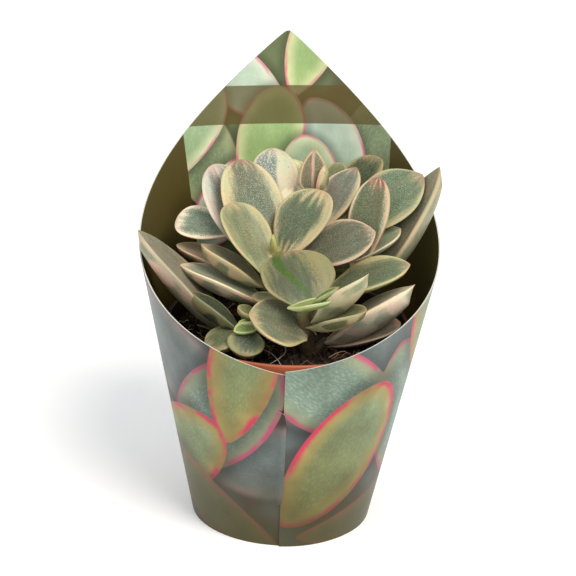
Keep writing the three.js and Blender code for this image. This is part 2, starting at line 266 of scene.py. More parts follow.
def tube(path: np.ndarray, radii: np.ndarray, sides: int) -> tuple[np.ndarray, list[np.ndarray]]:
    """A round tube carried along a path, closed by a point at each end.

    The section at each point of the path is a circle square to the path, turned as little as possible
    from the one before it, which the cross product with one fixed helper direction gives.

    Args:
        path: points along the middle, (n, 3).
        radii: radius at each point of the path.
        sides: points round the tube.

    Returns:
        Points and face groups.
    """
    ahead = np.gradient(path, axis=0)
    ahead /= np.linalg.norm(ahead, axis=1, keepdims=True)
    helper = np.eye(3)[np.argmin(np.abs(ahead).max(0))]
    side = np.cross(ahead, helper)
    side /= np.linalg.norm(side, axis=1, keepdims=True)
    other = np.cross(ahead, side)
    turn = circle(sides)
    ring = np.cos(turn)[None, :, None] * side[:, None] + np.sin(turn)[None, :, None] * other[:, None]
    points = path[:, None] + radii[:, None, None] * ring
    ends = np.stack([path[0] - ahead[0] * radii[0] * 0.5, path[-1] + ahead[-1] * radii[-1] * 0.5])
    return np.concatenate([points.reshape(-1, 3), ends]), capped_faces(len(path), sides)


def joined(parts: list[tuple[np.ndarray, list[np.ndarray]]]) -> tuple[np.ndarray, list[np.ndarray]]:
    """Joins several sets of points and face groups into one."""
    points, faces, first = [], [], 0
    for part, groups in parts:
        points.append(part)
        faces += [group + first for group in groups]
        first += len(part)
    return np.concatenate(points), faces


# Material helpers

def add_node(tree: bpy.types.NodeTree, kind: str, settings: dict | None = None,
             inputs: dict | None = None) -> bpy.types.Node:
    """Adds a node, with its settings and its inputs.

    Args:
        tree: the material's tree.
        kind: the node's type.
        settings: properties of the node by name.
        inputs: a value or another node's output for each input, by name or number.

    Returns:
        The new node.
    """
    node = tree.nodes.new(kind)
    for name, value in (settings or {}).items():
        setattr(node, name, value)
    for key, value in (inputs or {}).items():
        if isinstance(value, Socket):
            tree.links.new(value, node.inputs[key])
        else:
            node.inputs[key].default_value = value
    return node


@dataclass
class Paint:
    """A material in the making, with a method for each step that the finishes share."""

    material: bpy.types.Material
    tree: bpy.types.NodeTree
    shader: bpy.types.Node

    def field(self, name: str, output: str = "Fac") -> Socket:
        """Reads a field that the mesh carries on its points."""
        return add_node(self.tree, "ShaderNodeAttribute", {"attribute_name": name}).outputs[output]

    def place(self) -> Socket:
        """Gives the place in the piece's own space, in metres."""
        return add_node(self.tree, "ShaderNodeTexCoord").outputs["Object"]

    def stretched(self, place: Socket, scale: tuple[float, float, float]) -> Socket:
        """Multiplies a place by a scale for each axis."""
        return add_node(self.tree, "ShaderNodeMapping", None, {"Vector": place, "Scale": scale}).outputs[0]

    def noise(self, place: Socket, scale: float, detail: float = 2.0, roughness: float = 0.5) -> Socket:
        """Adds cloudy noise, around 0.5."""
        inputs = {"Vector": place, "Scale": scale, "Detail": detail, "Roughness": roughness}
        return add_node(self.tree, "ShaderNodeTexNoise", None, inputs).outputs["Fac"]

    def ramp(self, value: Socket, low: float, high: float, start: float = 0.0, end: float = 1.0,
             curve: str = "LINEAR") -> Socket:
        """Maps a value between two limits onto another span.

        Args:
            value: what is mapped.
            low: the value that gives start.
            high: the value that gives end.
            start: result at low and below it.
            end: result at high and above it.
            curve: how the result runs in between.

        Returns:
            The mapped value.
        """
        inputs = {"Value": value, "From Min": low, "From Max": high, "To Min": start, "To Max": end}
        return add_node(self.tree, "ShaderNodeMapRange", {"interpolation_type": curve}, inputs).outputs[0]

    def ease(self, value: Socket, low: float, high: float, start: float = 0.0, end: float = 1.0) -> Socket:
        """Maps a value as ramp does, with a soft start and end."""
        return self.ramp(value, low, high, start, end, "SMOOTHSTEP")

    def mix(self, share: Socket, *colours: Colour) -> Socket:
        """Blends two colours.

        Args:
            share: how much of the second colour shows.
            colours: both colours, each one a hex colour, a linear one or a node's output.

        Returns:
            The blend.
        """
        first, second = (linear(colour) if isinstance(colour, str) else colour for colour in colours)
        inputs = {0: share, 6: first, 7: second}
        return add_node(self.tree, "ShaderNodeMix", {"data_type": "RGBA"}, inputs).outputs[2]

    def scaled(self, colour: Socket, factor: Socket) -> Socket:
        """Brightens or darkens a colour."""
        inputs = {0: colour, "Scale": factor}
        return add_node(self.tree, "ShaderNodeVectorMath", {"operation": "SCALE"}, inputs).outputs[0]

    def maths(self, operation: str, *values: Socket | float) -> Socket:
        """Works out a sum, a product or a comparison of numbers."""
        inputs = dict(enumerate(values))
        return add_node(self.tree, "ShaderNodeMath", {"operation": operation}, inputs).outputs[0]

    def bump(self, height: Socket, relief: tuple[float, float]) -> None:
        """Raises the surface by a noise.

        Args:
            height: the noise.
            relief: the share of the height that the eye sees, and the full height in millimetres.
        """
        inputs = {"Height": height, "Strength": relief[0], "Distance": relief[1] * MM}
        self.give(Normal=add_node(self.tree, "ShaderNodeBump", None, inputs).outputs[0])

    def give(self, **values: Socket | float | tuple[float, ...]) -> None:
        """Sets or links the shader's inputs.

        Args:
            values: a value or a node's output for each input, by name with _ for a space.
        """
        for key, value in values.items():
            socket = self.shader.inputs[key.replace("_", " ")]
            if isinstance(value, Socket):
                self.tree.links.new(value, socket)
            else:
                socket.default_value = value


@dataclass(frozen=True)
class Finish:
    """A surface finish: its name, how rough it is, how it bends light, and its relief."""

    name: str
    roughness: float
    ior: float = 1.45
    relief: tuple[float, float] = (0.0, 0.0)  # how strongly it shows, and its height in millimetres

    def start(self) -> Paint:
        """Makes the material with its shader.

        Returns:
            The material in the making.
        """
        material = bpy.data.materials.new(self.name)
        material.use_nodes = True
        tree = material.node_tree
        tree.nodes.clear()
        shader = add_node(tree, "ShaderNodeBsdfPrincipled", None, {
            "Roughness": self.roughness, "IOR": self.ior})
        add_node(tree, "ShaderNodeOutputMaterial", None, {"Surface": shader.outputs[0]})
        return Paint(material, tree, shader)


@dataclass(frozen=True)
class LeafSkin(Finish):
    """Waxy skin of a succulent leaf, grown: satin, with green cells streaked and speckled over cream.

    Light goes a little way into the flesh, so pale margins glow. The green thins out in stippled streaks
    along the leaf, single dark cells stand out as dots, and empty skin cells glint as a white frost.
    """

    name: str = "jade_leaf_skin"
    roughness: float = 0.42
    ior: float = 1.42
    relief: tuple[float, float] = (0.3, 0.15)
    streak_mm: tuple[float, float] = (2.2, 11.0)  # across and along the leaf
    speckle_mm: tuple[float, float] = (0.42, 0.546)
    cloud_mm: tuple[float, float] = (6.0, 14.0)
    details: tuple[float, float, float] = (3.0, 1.0, 2.0)  # of the streaks, the speckles and the clouds
    grain: float = 0.55  # roughness of all three
    streak_share: float = 0.7  # how far streaks and speckles push the green's edge about
    speckle_share: float = 1.3
    green_edge: tuple[float, float] = (1.2, 1.8)
    streak_depth: tuple[float, float] = (1.16, 0.86)
    speckle_depth: tuple[float, float] = (0.9, 1.09)
    cloud_span: tuple[float, float] = (0.35, 0.65)
    warm: tuple[float, float, float, float] = (1.1, 0.99, 0.94, 1)  # what the clouds tint the skin by
    cool: tuple[float, float, float, float] = (0.9, 1.01, 0.93, 1)
    glints: tuple[float, float] = (0.5, 0.66)
    frost: str = "#e9ebe6"
    dot: str = "#47492f"
    dot_mm: float = 3.2  # from one dot to the next
    dot_radius: float = 0.3
    dot_edge: tuple[float, float] = (0.6, 1.3)  # a dot fades out between these shares of its radius
    dot_share: float = 0.6
    uneven: tuple[float, float] = (0.1, -0.06)  # how the speckles change the roughness
    flesh_share: float = 0.15
    flesh_mm: float = 1.6  # how far light spreads inside
    flesh_spread: tuple[float, float, float] = (1.0, 0.8, 0.35)  # the same for red, green and blue light

    def build(self) -> bpy.types.Material:
        """Makes the material from the leaf's own fields: grain, cover, frost, pale and pigment."""
        paint = self.start()
        grain = paint.field("grain", "Vector")
        noises = []
        for (across, along), detail in zip((self.streak_mm, self.speckle_mm, self.cloud_mm), self.details):
            drawn = paint.stretched(grain, (1 / across, 1 / along, 1 / across))
            noises.append(paint.noise(drawn, 1.0, detail, self.grain))
        streak, speckle, cloud = noises
        total = paint.maths("MULTIPLY_ADD", streak, self.streak_share, paint.field("cover"))
        total = paint.maths("MULTIPLY_ADD", speckle, self.speckle_share, total)
        mask = paint.ease(total, *self.green_edge)
        lined = paint.ramp(streak, *NOISE_SPAN, *self.streak_depth)
        green = paint.scaled(paint.field("pigment", "Color"), lined)
        body = paint.mix(mask, paint.field("pale", "Color"), green)
        tints = paint.mix(paint.ramp(cloud, *self.cloud_span), self.warm, self.cool)
        body = add_node(paint.tree, "ShaderNodeVectorMath", {"operation": "MULTIPLY"}, {
            0: body, 1: tints}).outputs[0]
        body = paint.scaled(body, paint.ramp(speckle, *NOISE_SPAN, *self.speckle_depth))
        glint = paint.maths("MULTIPLY", paint.ease(speckle, *self.glints), paint.field("frost"))
        body = paint.mix(paint.maths("MULTIPLY", glint, mask), body, self.frost)
        body = self.dotted(paint, grain, body)
        gloss = paint.ramp(speckle, *NOISE_SPAN, *(self.roughness + change for change in self.uneven))
        paint.bump(speckle, self.relief)
        paint.give(Base_Color=body, Roughness=gloss, Subsurface_Weight=self.flesh_share,
                   Subsurface_Radius=self.flesh_spread, Subsurface_Scale=self.flesh_mm * MM)
        return paint.material

    def dotted(self, paint: Paint, grain: Socket, body: Socket) -> Socket:
        """Puts a dark dot on about half of the skin's cells.

        Args:
            paint: the material in the making.
            grain: the place on the leaf.
            body: the colour below.

        Returns:
            The colour with the dots on it.
        """
        cells = add_node(paint.tree, "ShaderNodeTexVoronoi", None, {
            "Vector": grain, "Scale": 1 / self.dot_mm, "Randomness": 1.0})
        inner, outer = (share * self.dot_radius / self.dot_mm for share in self.dot_edge)
        near = paint.ease(cells.outputs["Distance"], inner, outer, self.dot_share, 0.0)
        chosen = paint.maths("GREATER_THAN", cells.outputs["Color"], 0.5)
        return paint.mix(paint.maths("MULTIPLY", near, chosen), body, self.dot)


@dataclass(frozen=True)
class StemSkin(Finish):
    """Green young bark of a succulent, grown: satin green, turning dark brown towards the soil, partly as
    corky bark and partly as painted shade.
    """

    name: str = "jade_stem_skin"
    roughness: float = 0.55
    relief: tuple[float, float] = (0.4, 0.4)
    cork_mm: float = 2.2
    greens: tuple[str, str] = ("#6f7a3f", "#a8a868")
    # browns of the cork, darkened past it as painted shade low among the leaves
    cork_and_shade_browns: tuple[str, str] = ("#3a2f22", "#6b5d42")
    brown_below: float = 98.0  # heights between which it turns from brown, corky and painted shade, to green
    green_above: float = 116.0
    flesh_share: float = 0.1
    flesh_mm: float = 1.2

    def build(self) -> bpy.types.Material:
        """Makes the material."""
        paint = self.start()
        place = paint.place()
        height = add_node(paint.tree, "ShaderNodeSeparateXYZ", None, {0: place}).outputs["Z"]
        noise = paint.noise(place, 1 / (self.cork_mm * MM), 4.0)
        # cork and painted shade: dark brown low down, green higher up
        green_share = paint.ease(height, self.brown_below * MM, self.green_above * MM)
        colour = paint.mix(green_share, paint.mix(noise, *self.cork_and_shade_browns), paint.mix(noise, *self.greens))
        paint.bump(noise, self.relief)
        depth = self.flesh_mm * MM
        paint.give(Base_Color=colour, Subsurface_Weight=self.flesh_share, Subsurface_Scale=depth)
        return paint.material


@dataclass(frozen=True)
class Ink:
    """One layer of printed leaves: its colours and how sharp and how deep its leaves look."""

    layer: str
    foot: str  # colour at a leaf's foot
    tip: str  # colour at its tip
    pale: str  # zone inside the margin
    margin: str
    margin_mm: float
    margin_share: float
    blur_mm: float  # softness of the outline
    bloom: float  # share of pale wax bloom
    cast: float  # depth of the shade that the leaf throws on those behind


@dataclass(frozen=True)
class PrintedBoard(Finish):
    """Solid board, offset printed and varnished: a smooth half-gloss face with a fine even ink grain."""

    roughness: float = 0.4
    ior: float = 1.38
    relief: tuple[float, float] = (0.05, 0.1)
    ground_cool: str = "#74807f"
    ground_warm: str = "#5d4b45"
    shade: str = "#3f3a14"
    shade_reach: float = 58.0  # height over which the print fades out of the dark foot
    shade_share: float = 0.8
    dark: float = 0.47  # the print in its darkest and lightest clouds
    light: float = 0.8
    noise_mm: tuple[float, float, float] = (17, 34, 6)  # clouds, patches of the ground, uneven margins
    cast_mm: float = 9.0  # reach of the printed shadows
    bloom_mm: tuple[float, float] = (0.9, 2.2)  # across and along a leaf
    bloom: str = "#c9d6c6"
    leaf_half: float = 40.0  # a leaf's colour turns from foot to tip within this of its middle
    inks: tuple[Ink, ...] = ()
    plain: str = ""  # colour of the board outside the picture's panel, if it has one
    band: str = ""  # colour of the clear band over the picture, if it has one
    band_share: float = 0.84
    cut_mm: float = 0.15  # softness of the panel's and the band's outlines
    faded_span: tuple[float, float] = (0.38, 0.56)  # noise between which the margins gain their colour
    faded_share: float = 0.2  # what is left of it where they are palest
    patch_span: tuple[float, float] = (0.42, 0.58)
    wax_span: tuple[float, float] = (0.42, 0.72)
    wax_noise: tuple[float, float] = (4.0, 0.62)  # detail and roughness of the wax bloom
    ragged: float = 1.6  # how far the noise moves the margins, in margin widths
    pale_reach: tuple[float, float] = (4.0, 3.2)  # width of the pale zone: mm, and margin widths on top
    margin_span: tuple[float, float] = (-0.3, 1.1)  # margin widths over which the margin's colour fades

    def build(self) -> bpy.types.Material:
        """Makes the material from the card's own fields: sheet, climb, panel, band and one for each ink."""
        paint = self.start()
        sheet = paint.field("sheet", "Vector")
        soft, patchy, ragged = (paint.noise(sheet, 1 / size) for size in self.noise_mm)
        faded = paint.ease(soft, *self.faded_span, self.faded_share, 1.0)
        colour = paint.mix(paint.ease(patchy, *self.patch_span), self.ground_cool, self.ground_warm)
        for ink in self.inks:
            colour = self.leaves(paint, ink, colour, ragged, faded)
        colour = paint.scaled(colour, paint.ramp(soft, *NOISE_SPAN, self.dark, self.light))
        if self.shade_share > 0:
            low = paint.ease(paint.field("climb"), 0.0, self.shade_reach, self.shade_share, 0.0)
            colour = paint.mix(low, colour, self.shade)
        if self.band:
            over = paint.ramp(paint.field("band"), -self.cut_mm, self.cut_mm, 0.0, self.band_share)
            colour = paint.mix(over, colour, self.band)
        if self.plain:
            picture = paint.ramp(paint.field("panel"), -self.cut_mm, self.cut_mm)
            colour = paint.mix(picture, self.plain, colour)
        paint.bump(ragged, self.relief)
        paint.give(Base_Color=colour)
        return paint.material

    def leaves(self, paint: Paint, ink: Ink, colour: Socket, ragged: Socket, faded: Socket) -> Socket:
        """Prints one layer of leaves over what is there.

        Args:
            paint: the material in the making.
            ink: the layer's colours.
            colour: the print below.
            ragged: noise that makes the margins uneven.
            faded: how strongly the margins are coloured, from place to place.

        Returns:
            The colour with the layer on it.
        """
        place = paint.field(ink.layer, "Vector")
        parts = add_node(paint.tree, "ShaderNodeSeparateXYZ", None, {0: place})
        along, depth = parts.outputs["X"], parts.outputs["Z"]
        colour = paint.scaled(colour, paint.ease(depth, -self.cast_mm, 0.0, 1.0, 1 - ink.cast))
        wavy = paint.maths("MULTIPLY_ADD", ragged, -self.ragged * ink.margin_mm, depth)
        grain = paint.stretched(place, (1 / self.bloom_mm[1], 1 / self.bloom_mm[0], 0.0))
        wax = paint.noise(grain, 1.0, *self.wax_noise)
        body = paint.mix(paint.ramp(along, -self.leaf_half, self.leaf_half), ink.foot, ink.tip)
        body = paint.mix(paint.ease(wax, *self.wax_span, 0.0, ink.bloom), body, self.bloom)
        reach = self.pale_reach[0] + self.pale_reach[1] * ink.margin_mm
        body = paint.mix(paint.ease(wavy, 0.0, reach), ink.pale, body)
        inner, outer = (widths * ink.margin_mm for widths in self.margin_span)
        rim = paint.ease(wavy, inner, outer + ink.blur_mm, ink.margin_share, 0.0)
        body = paint.mix(paint.maths("MULTIPLY", rim, faded), body, ink.margin)
        return paint.mix(paint.ease(depth, -ink.blur_mm, ink.blur_mm), colour, body)


@dataclass(frozen=True)
class CutBoard(Finish):
    """Cut edge of solid board, die cut: off-white fibre, matt, with a faint layered grain."""

    name: str = "cut_board_edge"
    roughness: float = 0.8
    grain_mm: float = 0.9
    fibre: tuple[str, str] = ("#b9b7ab", "#dcdad0")

    def build(self) -> bpy.types.Material:
        """Makes the material."""
        paint = self.start()
        noise = paint.noise(paint.place(), 1 / (self.grain_mm * MM))
        paint.give(Base_Color=paint.mix(noise, *self.fibre))
        return paint.material


@dataclass(frozen=True)
class PotPlastic(Finish):
    """Polypropylene, injection moulded thin: terracotta, satin, with fine mould texture and dust."""

    name: str = "terracotta_polypropylene"
    roughness: float = 0.48
    ior: float = 1.49
    relief: tuple[float, float] = (0.2, 0.1)
    texture_mm: float = 0.8
    dust_mm: float = 9.0
    dust_span: tuple[float, float] = (0.45, 0.75)
    dust_share: float = 0.4
    clean: str = "#b8603d"
    dusty: str = "#8e5138"
    # painted shade: the near black brown that the rim's sides and back are darkened to
    soil: str = "#2e2018"
    painted_shade_radius: float = 51.6  # inside this, painted shade darkens the rim to near black, but for its very front
    painted_shade_edge: float = 0.9  # width of the painted shade's soft edge
    painted_shade_y: tuple[float, float] = (-47, -36)  # the painted shade sets in between these
    front_share: float = 0.15  # what is left of it at the very front

    def build(self) -> bpy.types.Material:
        """Makes the material."""
        paint = self.start()
        place = paint.place()
        cloud = paint.noise(place, 1 / (self.dust_mm * MM), 4.0)
        dust = paint.ease(cloud, *self.dust_span, 0.0, self.dust_share)
        colour = paint.mix(dust, self.clean, self.dusty)
        flat = paint.stretched(place, (1.0, 1.0, 0.0))
        radius = add_node(paint.tree, "ShaderNodeVectorMath", {"operation": "LENGTH"}, {
            0: flat}).outputs["Value"]
        y = add_node(paint.tree, "ShaderNodeSeparateXYZ", None, {0: place}).outputs["Y"]
        outer = (self.painted_shade_radius + self.painted_shade_edge) * MM
        inner = paint.ease(radius, self.painted_shade_radius * MM, outer, 1.0, 0.0)
        behind = paint.ease(y, *(limit * MM for limit in self.painted_shade_y), self.front_share, 1.0)
        # painted shade: near black over the rim and inside it, all round but the very front
        colour = paint.mix(paint.maths("MULTIPLY", inner, behind), colour, self.soil)
        paint.bump(paint.noise(place, 1 / (self.texture_mm * MM)), self.relief)
        paint.give(Base_Color=colour)
        return paint.material


@dataclass(frozen=True)
class Peat(Finish):
    """Moist peat compost, loose: near black brown, rough, with paler dry crumbs."""

    name: str = "peat_compost"
    roughness: float = 0.9
    relief: tuple[float, float] = (0.9, 1.2)
    crumb_mm: float = 1.6
    crumb_noise: tuple[float, float] = (6.0, 0.65)  # detail and roughness
    dry_span: tuple[float, float] = (0.48, 0.72)
    wet: str = "#1d140e"
    dry: str = "#5a4432"

    def build(self) -> bpy.types.Material:
        """Makes the material."""
        paint = self.start()
        crumb = paint.noise(paint.place(), 1 / (self.crumb_mm * MM), *self.crumb_noise)
        paint.bump(crumb, self.relief)
        paint.give(Base_Color=paint.mix(paint.ease(crumb, *self.dry_span), self.wet, self.dry))
        return paint.material


@dataclass(frozen=True)
class PlantFibre(Finish):
    """Dry plant fibre, as straw, bark and roots: matt, streaked along its length."""

    name: str = "dry_plant_fibre"
    roughness: float = 0.75
    streaks: float = 900.0  # in a metre
    shades: tuple[float, float] = (0.75, 1.2)  # its darkest and lightest streaks

    def build(self) -> bpy.types.Material:
        """Makes the material from the strand's own colour field."""
        paint = self.start()
        shade = paint.ramp(paint.noise(paint.place(), self.streaks), *NOISE_SPAN, *self.shades)
        paint.give(Base_Color=paint.scaled(paint.field("tint", "Color"), shade))
        return paint.material


@dataclass(frozen=True)
class StudioFloor(Finish):
    """Matt white studio floor."""

    name: str = "studio_floor"
    roughness: float = 0.9
    whites: tuple[str, str] = ("#f4f4f3", "#f8f8f7")
    clouds: float = 3.0  # in a metre
    glow_colour: str = "#fbfbfa"
    glow: float = 0.16  # the table is lit from below, which thins the shadow

    def build(self) -> bpy.types.Material:
        """Makes the material."""
        paint = self.start()
        colour = paint.mix(paint.noise(paint.place(), self.clouds), *self.whites)
        paint.give(Base_Color=colour, Emission_Color=linear(self.glow_colour), Emission_Strength=self.glow)
        return paint.material


# The wrapped card

INK_LAYERS = ("ink_1", "ink_2", "ink_3", "ink_4")


@dataclass(frozen=True)
class Motif:
    """A printed leaf: its ink layer, its middle by angle from the front and height up the wall, its lean
    from the wall's line, its half length and half width, and how blunt its ends are."""

    layer: str
    angle: float
    climb: float
    lean: float
    long: float
    wide: float
    blunt: float = 0.7


OUTSIDE_MOTIFS = (
    Motif("ink_1", 50, 90, 64, 58, 25),
    Motif("ink_1", -58, 84, -70, 54, 23),
    Motif("ink_1", -4, 44, 84, 60, 19),
    Motif("ink_1", 118, 84, 36, 60, 28),
    Motif("ink_1", -122, 84, -26, 58, 26),
    Motif("ink_1", 180, 40, 84, 54, 22),
    Motif("ink_2", -36, 60, 44, 48, 21),
    Motif("ink_2", 76, 54, -28, 48, 22),
    Motif("ink_2", 24, 78, -58, 44, 20),
    Motif("ink_2", 148, 104, -34, 56, 24),
    Motif("ink_2", -154, 100, 28, 56, 24),
    Motif("ink_2", -100, 56, -12, 50, 22),
    Motif("ink_3", 30, 44, 32, 40, 21, 0.6),
    Motif("ink_3", 88, 92, -40, 42, 19, 0.6),
    Motif("ink_3", -74, 34, 62, 44, 19, 0.6),
    Motif("ink_3", -20, 84, 14, 34, 15, 0.6),
    Motif("ink_3", 124, 42, -56, 40, 18, 0.6),
    Motif("ink_3", -132, 40, 48, 40, 17, 0.6),
    Motif("ink_1", 158, 152, 44, 50, 25),
    Motif("ink_1", 208, 146, -50, 50, 25),
    Motif("ink_2", 184, 166, 72, 40, 18),
    Motif("ink_3", 178, 92, 6, 48, 21, 0.6),
    Motif("ink_3", 194, 176, -40, 38, 16, 0.6),
    Motif("ink_4", -46, 14, -60, 36, 14),
    Motif("ink_4", 66, 8, 80, 40, 13),
    Motif("ink_4", 155, 18, -78, 46, 16),
    Motif("ink_4", -112, 14, 80, 46, 15),
)

INSIDE_MOTIFS = (
    Motif("ink_1", 150, 152, -30, 38, 17),
    Motif("ink_1", 216, 146, 26, 38, 17),
    Motif("ink_1", 180, 118, 80, 40, 17),
    Motif("ink_2", 198, 178, 48, 30, 13),
    Motif("ink_2", 164, 146, 30, 30, 15),
    Motif("ink_2", 208, 124, -50, 32, 14),
    Motif("ink_3", 176, 194, -18, 22, 11, 0.6),
    Motif("ink_3", 190, 150, -16, 28, 15, 0.6),
    Motif("ink_3", 152, 122, 62, 28, 12, 0.6),
    Motif("ink_4", 172, 128, 12, 28, 14, 0.6),
    Motif("ink_4", 220, 158, -44, 26, 11, 0.6),
)

OUTSIDE_BOARD = PrintedBoard(
    name="printed_board_outside",
    inks=(
        Ink("ink_1", "#6d7979", "#7e8a85", "#8d8f84", "#a98788", 1.4, 0.7, 2.4, 0.12, 0.3),
        Ink("ink_2", "#76907c", "#8ba48f", "#a2a986", "#d0587a", 1.6, 1.0, 0.35, 0.55, 0.45),
        Ink("ink_3", "#8b8a3c", "#8c9f72", "#b8a35c", "#dc3f5e", 1.9, 1.0, 0.3, 0.25, 0.5),
        Ink("ink_4", "#6a6a45", "#7f8152", "#8d7c58", "#b9605a", 1.4, 0.8, 0.8, 0.12, 0.4),
    ),
)

INSIDE_BOARD = PrintedBoard(
    name="printed_board_inside",
    ground_cool="#6f7a52",
    ground_warm="#574b38",
    shade_share=0.0,
    dark=0.8,
    light=1.15,
    cast_mm=5.0,
    plain="#544923",
    band="#5d4f1e",
    inks=(
        Ink("ink_1", "#7c8a60", "#8a9a72", "#a3ae80", "#c0a583", 0.8, 0.7, 0.6, 0.3, 0.3),
        Ink("ink_2", "#a3bc98", "#c6d6c6", "#d9dfc6", "#dd6f90", 0.8, 1.0, 0.25, 0.6, 0.4),
        Ink("ink_3", "#8cab5c", "#a9c184", "#d2d9a0", "#de6a86", 0.8, 0.9, 0.25, 0.2, 0.4),
        Ink("ink_4", "#86a562", "#b3c9a4", "#d9dfb4", "#dc7a90", 0.7, 0.9, 0.25, 0.4, 0.45),
    ),
)


@dataclass
class CardSleeve:
    """The card: one sheet rolled once into a cone, its outer end lying over its inner end at the front."""

    foot_radius: float = 39.5
    half_angle: float = 11.73
    thickness: float = 0.6
    seam_lift: float = 0.95
    lift_reach: float = 50.0
    overlap: float = 11.0
    corner_side: float = -4.5
    corner_height: float = 203.6
    corner_round: float = 1.35
    edge_right: tuple[float, float] = (0.89, 0.0004)
    edge_left: tuple[float, float] = (0.93, 0.0006)
    edge_start: float = 120.0  # the top edge's height is closed in on from here
    edge_steps: int = 60
    edge_rate: float = 0.8
    columns: int = 340
    rows: int = 125
    outline_steps: int = 90  # straight steps along a printed leaf
    shadow_reach: float = 12.0  # how far outside a printed leaf its distance is worked out
    far_out: float = 60.0  # distance given to places farther out
    leaf_taper: float = 0.25  # how much wider a printed leaf is towards its tip
    tab_heights: tuple[float, float] = (22.0, 70.0)
    tab_angles: tuple[float, float, float] = (-4.0, -1.5, 1.4)  # degrees: its root, its ends and its middle
    tab_thickness: float = 0.3
    tab_gap: float = 0.05  # between the tongue and the card under it
    tab_square: float = 6.0  # how straight its free edge runs before it rounds off
    tab_corner: float = 1 / 3  # how tightly it rounds off
    tab_rise: tuple[float, float] = (-3.2, -0.3)  # degrees over which it climbs onto the outer end
    tab_columns: int = 16
    tab_rows: int = 60
    panel_left: tuple[float, float] = (-51.8, -0.17)  # side line of the picture inside: place and slant
    panel_right: float = 46.8
    panel_middle: float = 136.0
    band_middle: tuple[float, float] = (169.1, 0.038)  # height and slant of the clear band
    band_half: float = 8.7
    sharp: float = 50.0  # degrees from which a fold shows as an edge

    def __post_init__(self) -> None:
        """Works out the cone's slope and how much a turn shrinks on the flat sheet."""
        self.slope = math.tan(math.radians(self.half_angle))
        self.unroll = math.sin(math.radians(self.half_angle))

    def sheet(self, angle: np.ndarray, height: np.ndarray) -> tuple[np.ndarray, np.ndarray, np.ndarray]:
        """Unrolls places on the cone onto the flat sheet.

        The distance from the cone's tip is the radius over the sine of the half angle, and the turn on
        the sheet is the angle from the back line times that sine.

        Args:
            angle: radians from the front.
            height: millimetres above the ground.

        Returns:
            Across and up on the sheet from the back line's foot, and the climb along the wall.
        """
        reach = (self.foot_radius + self.slope * height) / self.unroll
        turn = (math.pi - angle) * self.unroll
        foot = self.foot_radius / self.unroll
        return reach * np.sin(turn), reach * np.cos(turn) - foot, reach - foot

    def edge_height(self, angle: np.ndarray) -> np.ndarray:
        """Height of the cut top edge: on the flat sheet it falls away on both sides of one round corner."""
        height = np.full_like(angle, self.edge_start)
        for _ in range(self.edge_steps):
            side, up, _climb = self.sheet(angle, height)
            away = np.hypot(side - self.corner_side, self.corner_round)
            right = side > self.corner_side
            fall = np.where(right, self.edge_right[0], self.edge_left[0])
            bow = np.where(right, self.edge_right[1], self.edge_left[1])
            miss = self.corner_height - fall * away - bow * away ** 2 - up
            height = height + self.edge_rate * miss * math.cos(math.radians(self.half_angle))
        return height

    def lift(self, angle: np.ndarray) -> np.ndarray:
        """How far the wall stands off the cone: the outer end is lifted over the inner one."""
        return self.seam_lift * (1 - smooth(0, math.radians(self.lift_reach), angle))

    def depth(self, motif: Motif, side: np.ndarray, up: np.ndarray) -> np.ndarray:
        """Places and distance of sheet points in a printed leaf, the distance negative outside its outline.

        The outline's half width along the leaf is (1 - u^2)^blunt times a taper, with u from -1 to 1, and
        the distance is that to the nearest of its short straight steps.

        Args:
            motif: the printed leaf.
            side: across on the sheet.
            up: up the sheet.

        Returns:
            Millimetres along the leaf, beside its midrib and inside its outline, (n, 3).
        """
        angle = math.radians(motif.angle % 360)
        turn = (math.pi - angle) * self.unroll
        reach = self.foot_radius / self.unroll + motif.climb
        centre = np.array([reach * math.sin(turn), reach * math.cos(turn) - self.foot_radius / self.unroll])
        rise = np.array([math.sin(turn), math.cos(turn)])
        right = np.array([-math.cos(turn), math.sin(turn)])
        lean = math.radians(motif.lean)
        ahead = math.cos(lean) * rise + math.sin(lean) * right
        across = np.array([ahead[1], -ahead[0]])
        from_middle = np.stack([side, up], -1) - centre
        along, beside = from_middle @ ahead, from_middle @ across
        u = np.sin(np.linspace(-1, 1, self.outline_steps) * math.pi / 2)
        width = motif.wide * np.clip(1 - u ** 2, 0, 1) ** motif.blunt * (1 + self.leaf_taper * u)
        near = np.full(len(along), self.far_out)
        close = np.hypot(along, beside) < motif.long + self.shadow_reach
        points = np.stack([along[close], np.abs(beside[close])], -1)
        best = np.full(len(points), self.far_out)
        outline = np.stack([u * motif.long, width], -1)
        for start, end in zip(outline[:-1], outline[1:]):
            step = end - start
            share = np.clip((points - start) @ step / (step @ step), 0, 1)
            best = np.minimum(best, np.hypot(*(points - start - share[:, None] * step).T))
        near[close] = best
        share = np.clip(along / motif.long, -1, 1)
        half = np.interp(share, u, width)
        inside = (np.abs(beside) < half) & (np.abs(along) < motif.long)
        return np.stack([along, beside, np.where(inside, near, -near)], -1)

    def layer_fields(self, motifs: tuple[Motif, ...], side: np.ndarray,
                     up: np.ndarray) -> dict[str, np.ndarray]:
        """Finds the leaf of each ink layer that every place on the sheet is deepest in.

        Args:
            motifs: the printed leaves.
            side: across on the sheet.
            up: up the sheet.

        Returns:
            For each layer, the places in the leaf, (n, 3).
        """
        layers = {name: np.tile([0.0, 0.0, -self.far_out], (len(side), 1)) for name in INK_LAYERS}
        for motif in motifs:
            found, held = self.depth(motif, side, up), layers[motif.layer]
            layers[motif.layer] = np.where(found[:, 2:] > held[:, 2:], found, held)
        return layers

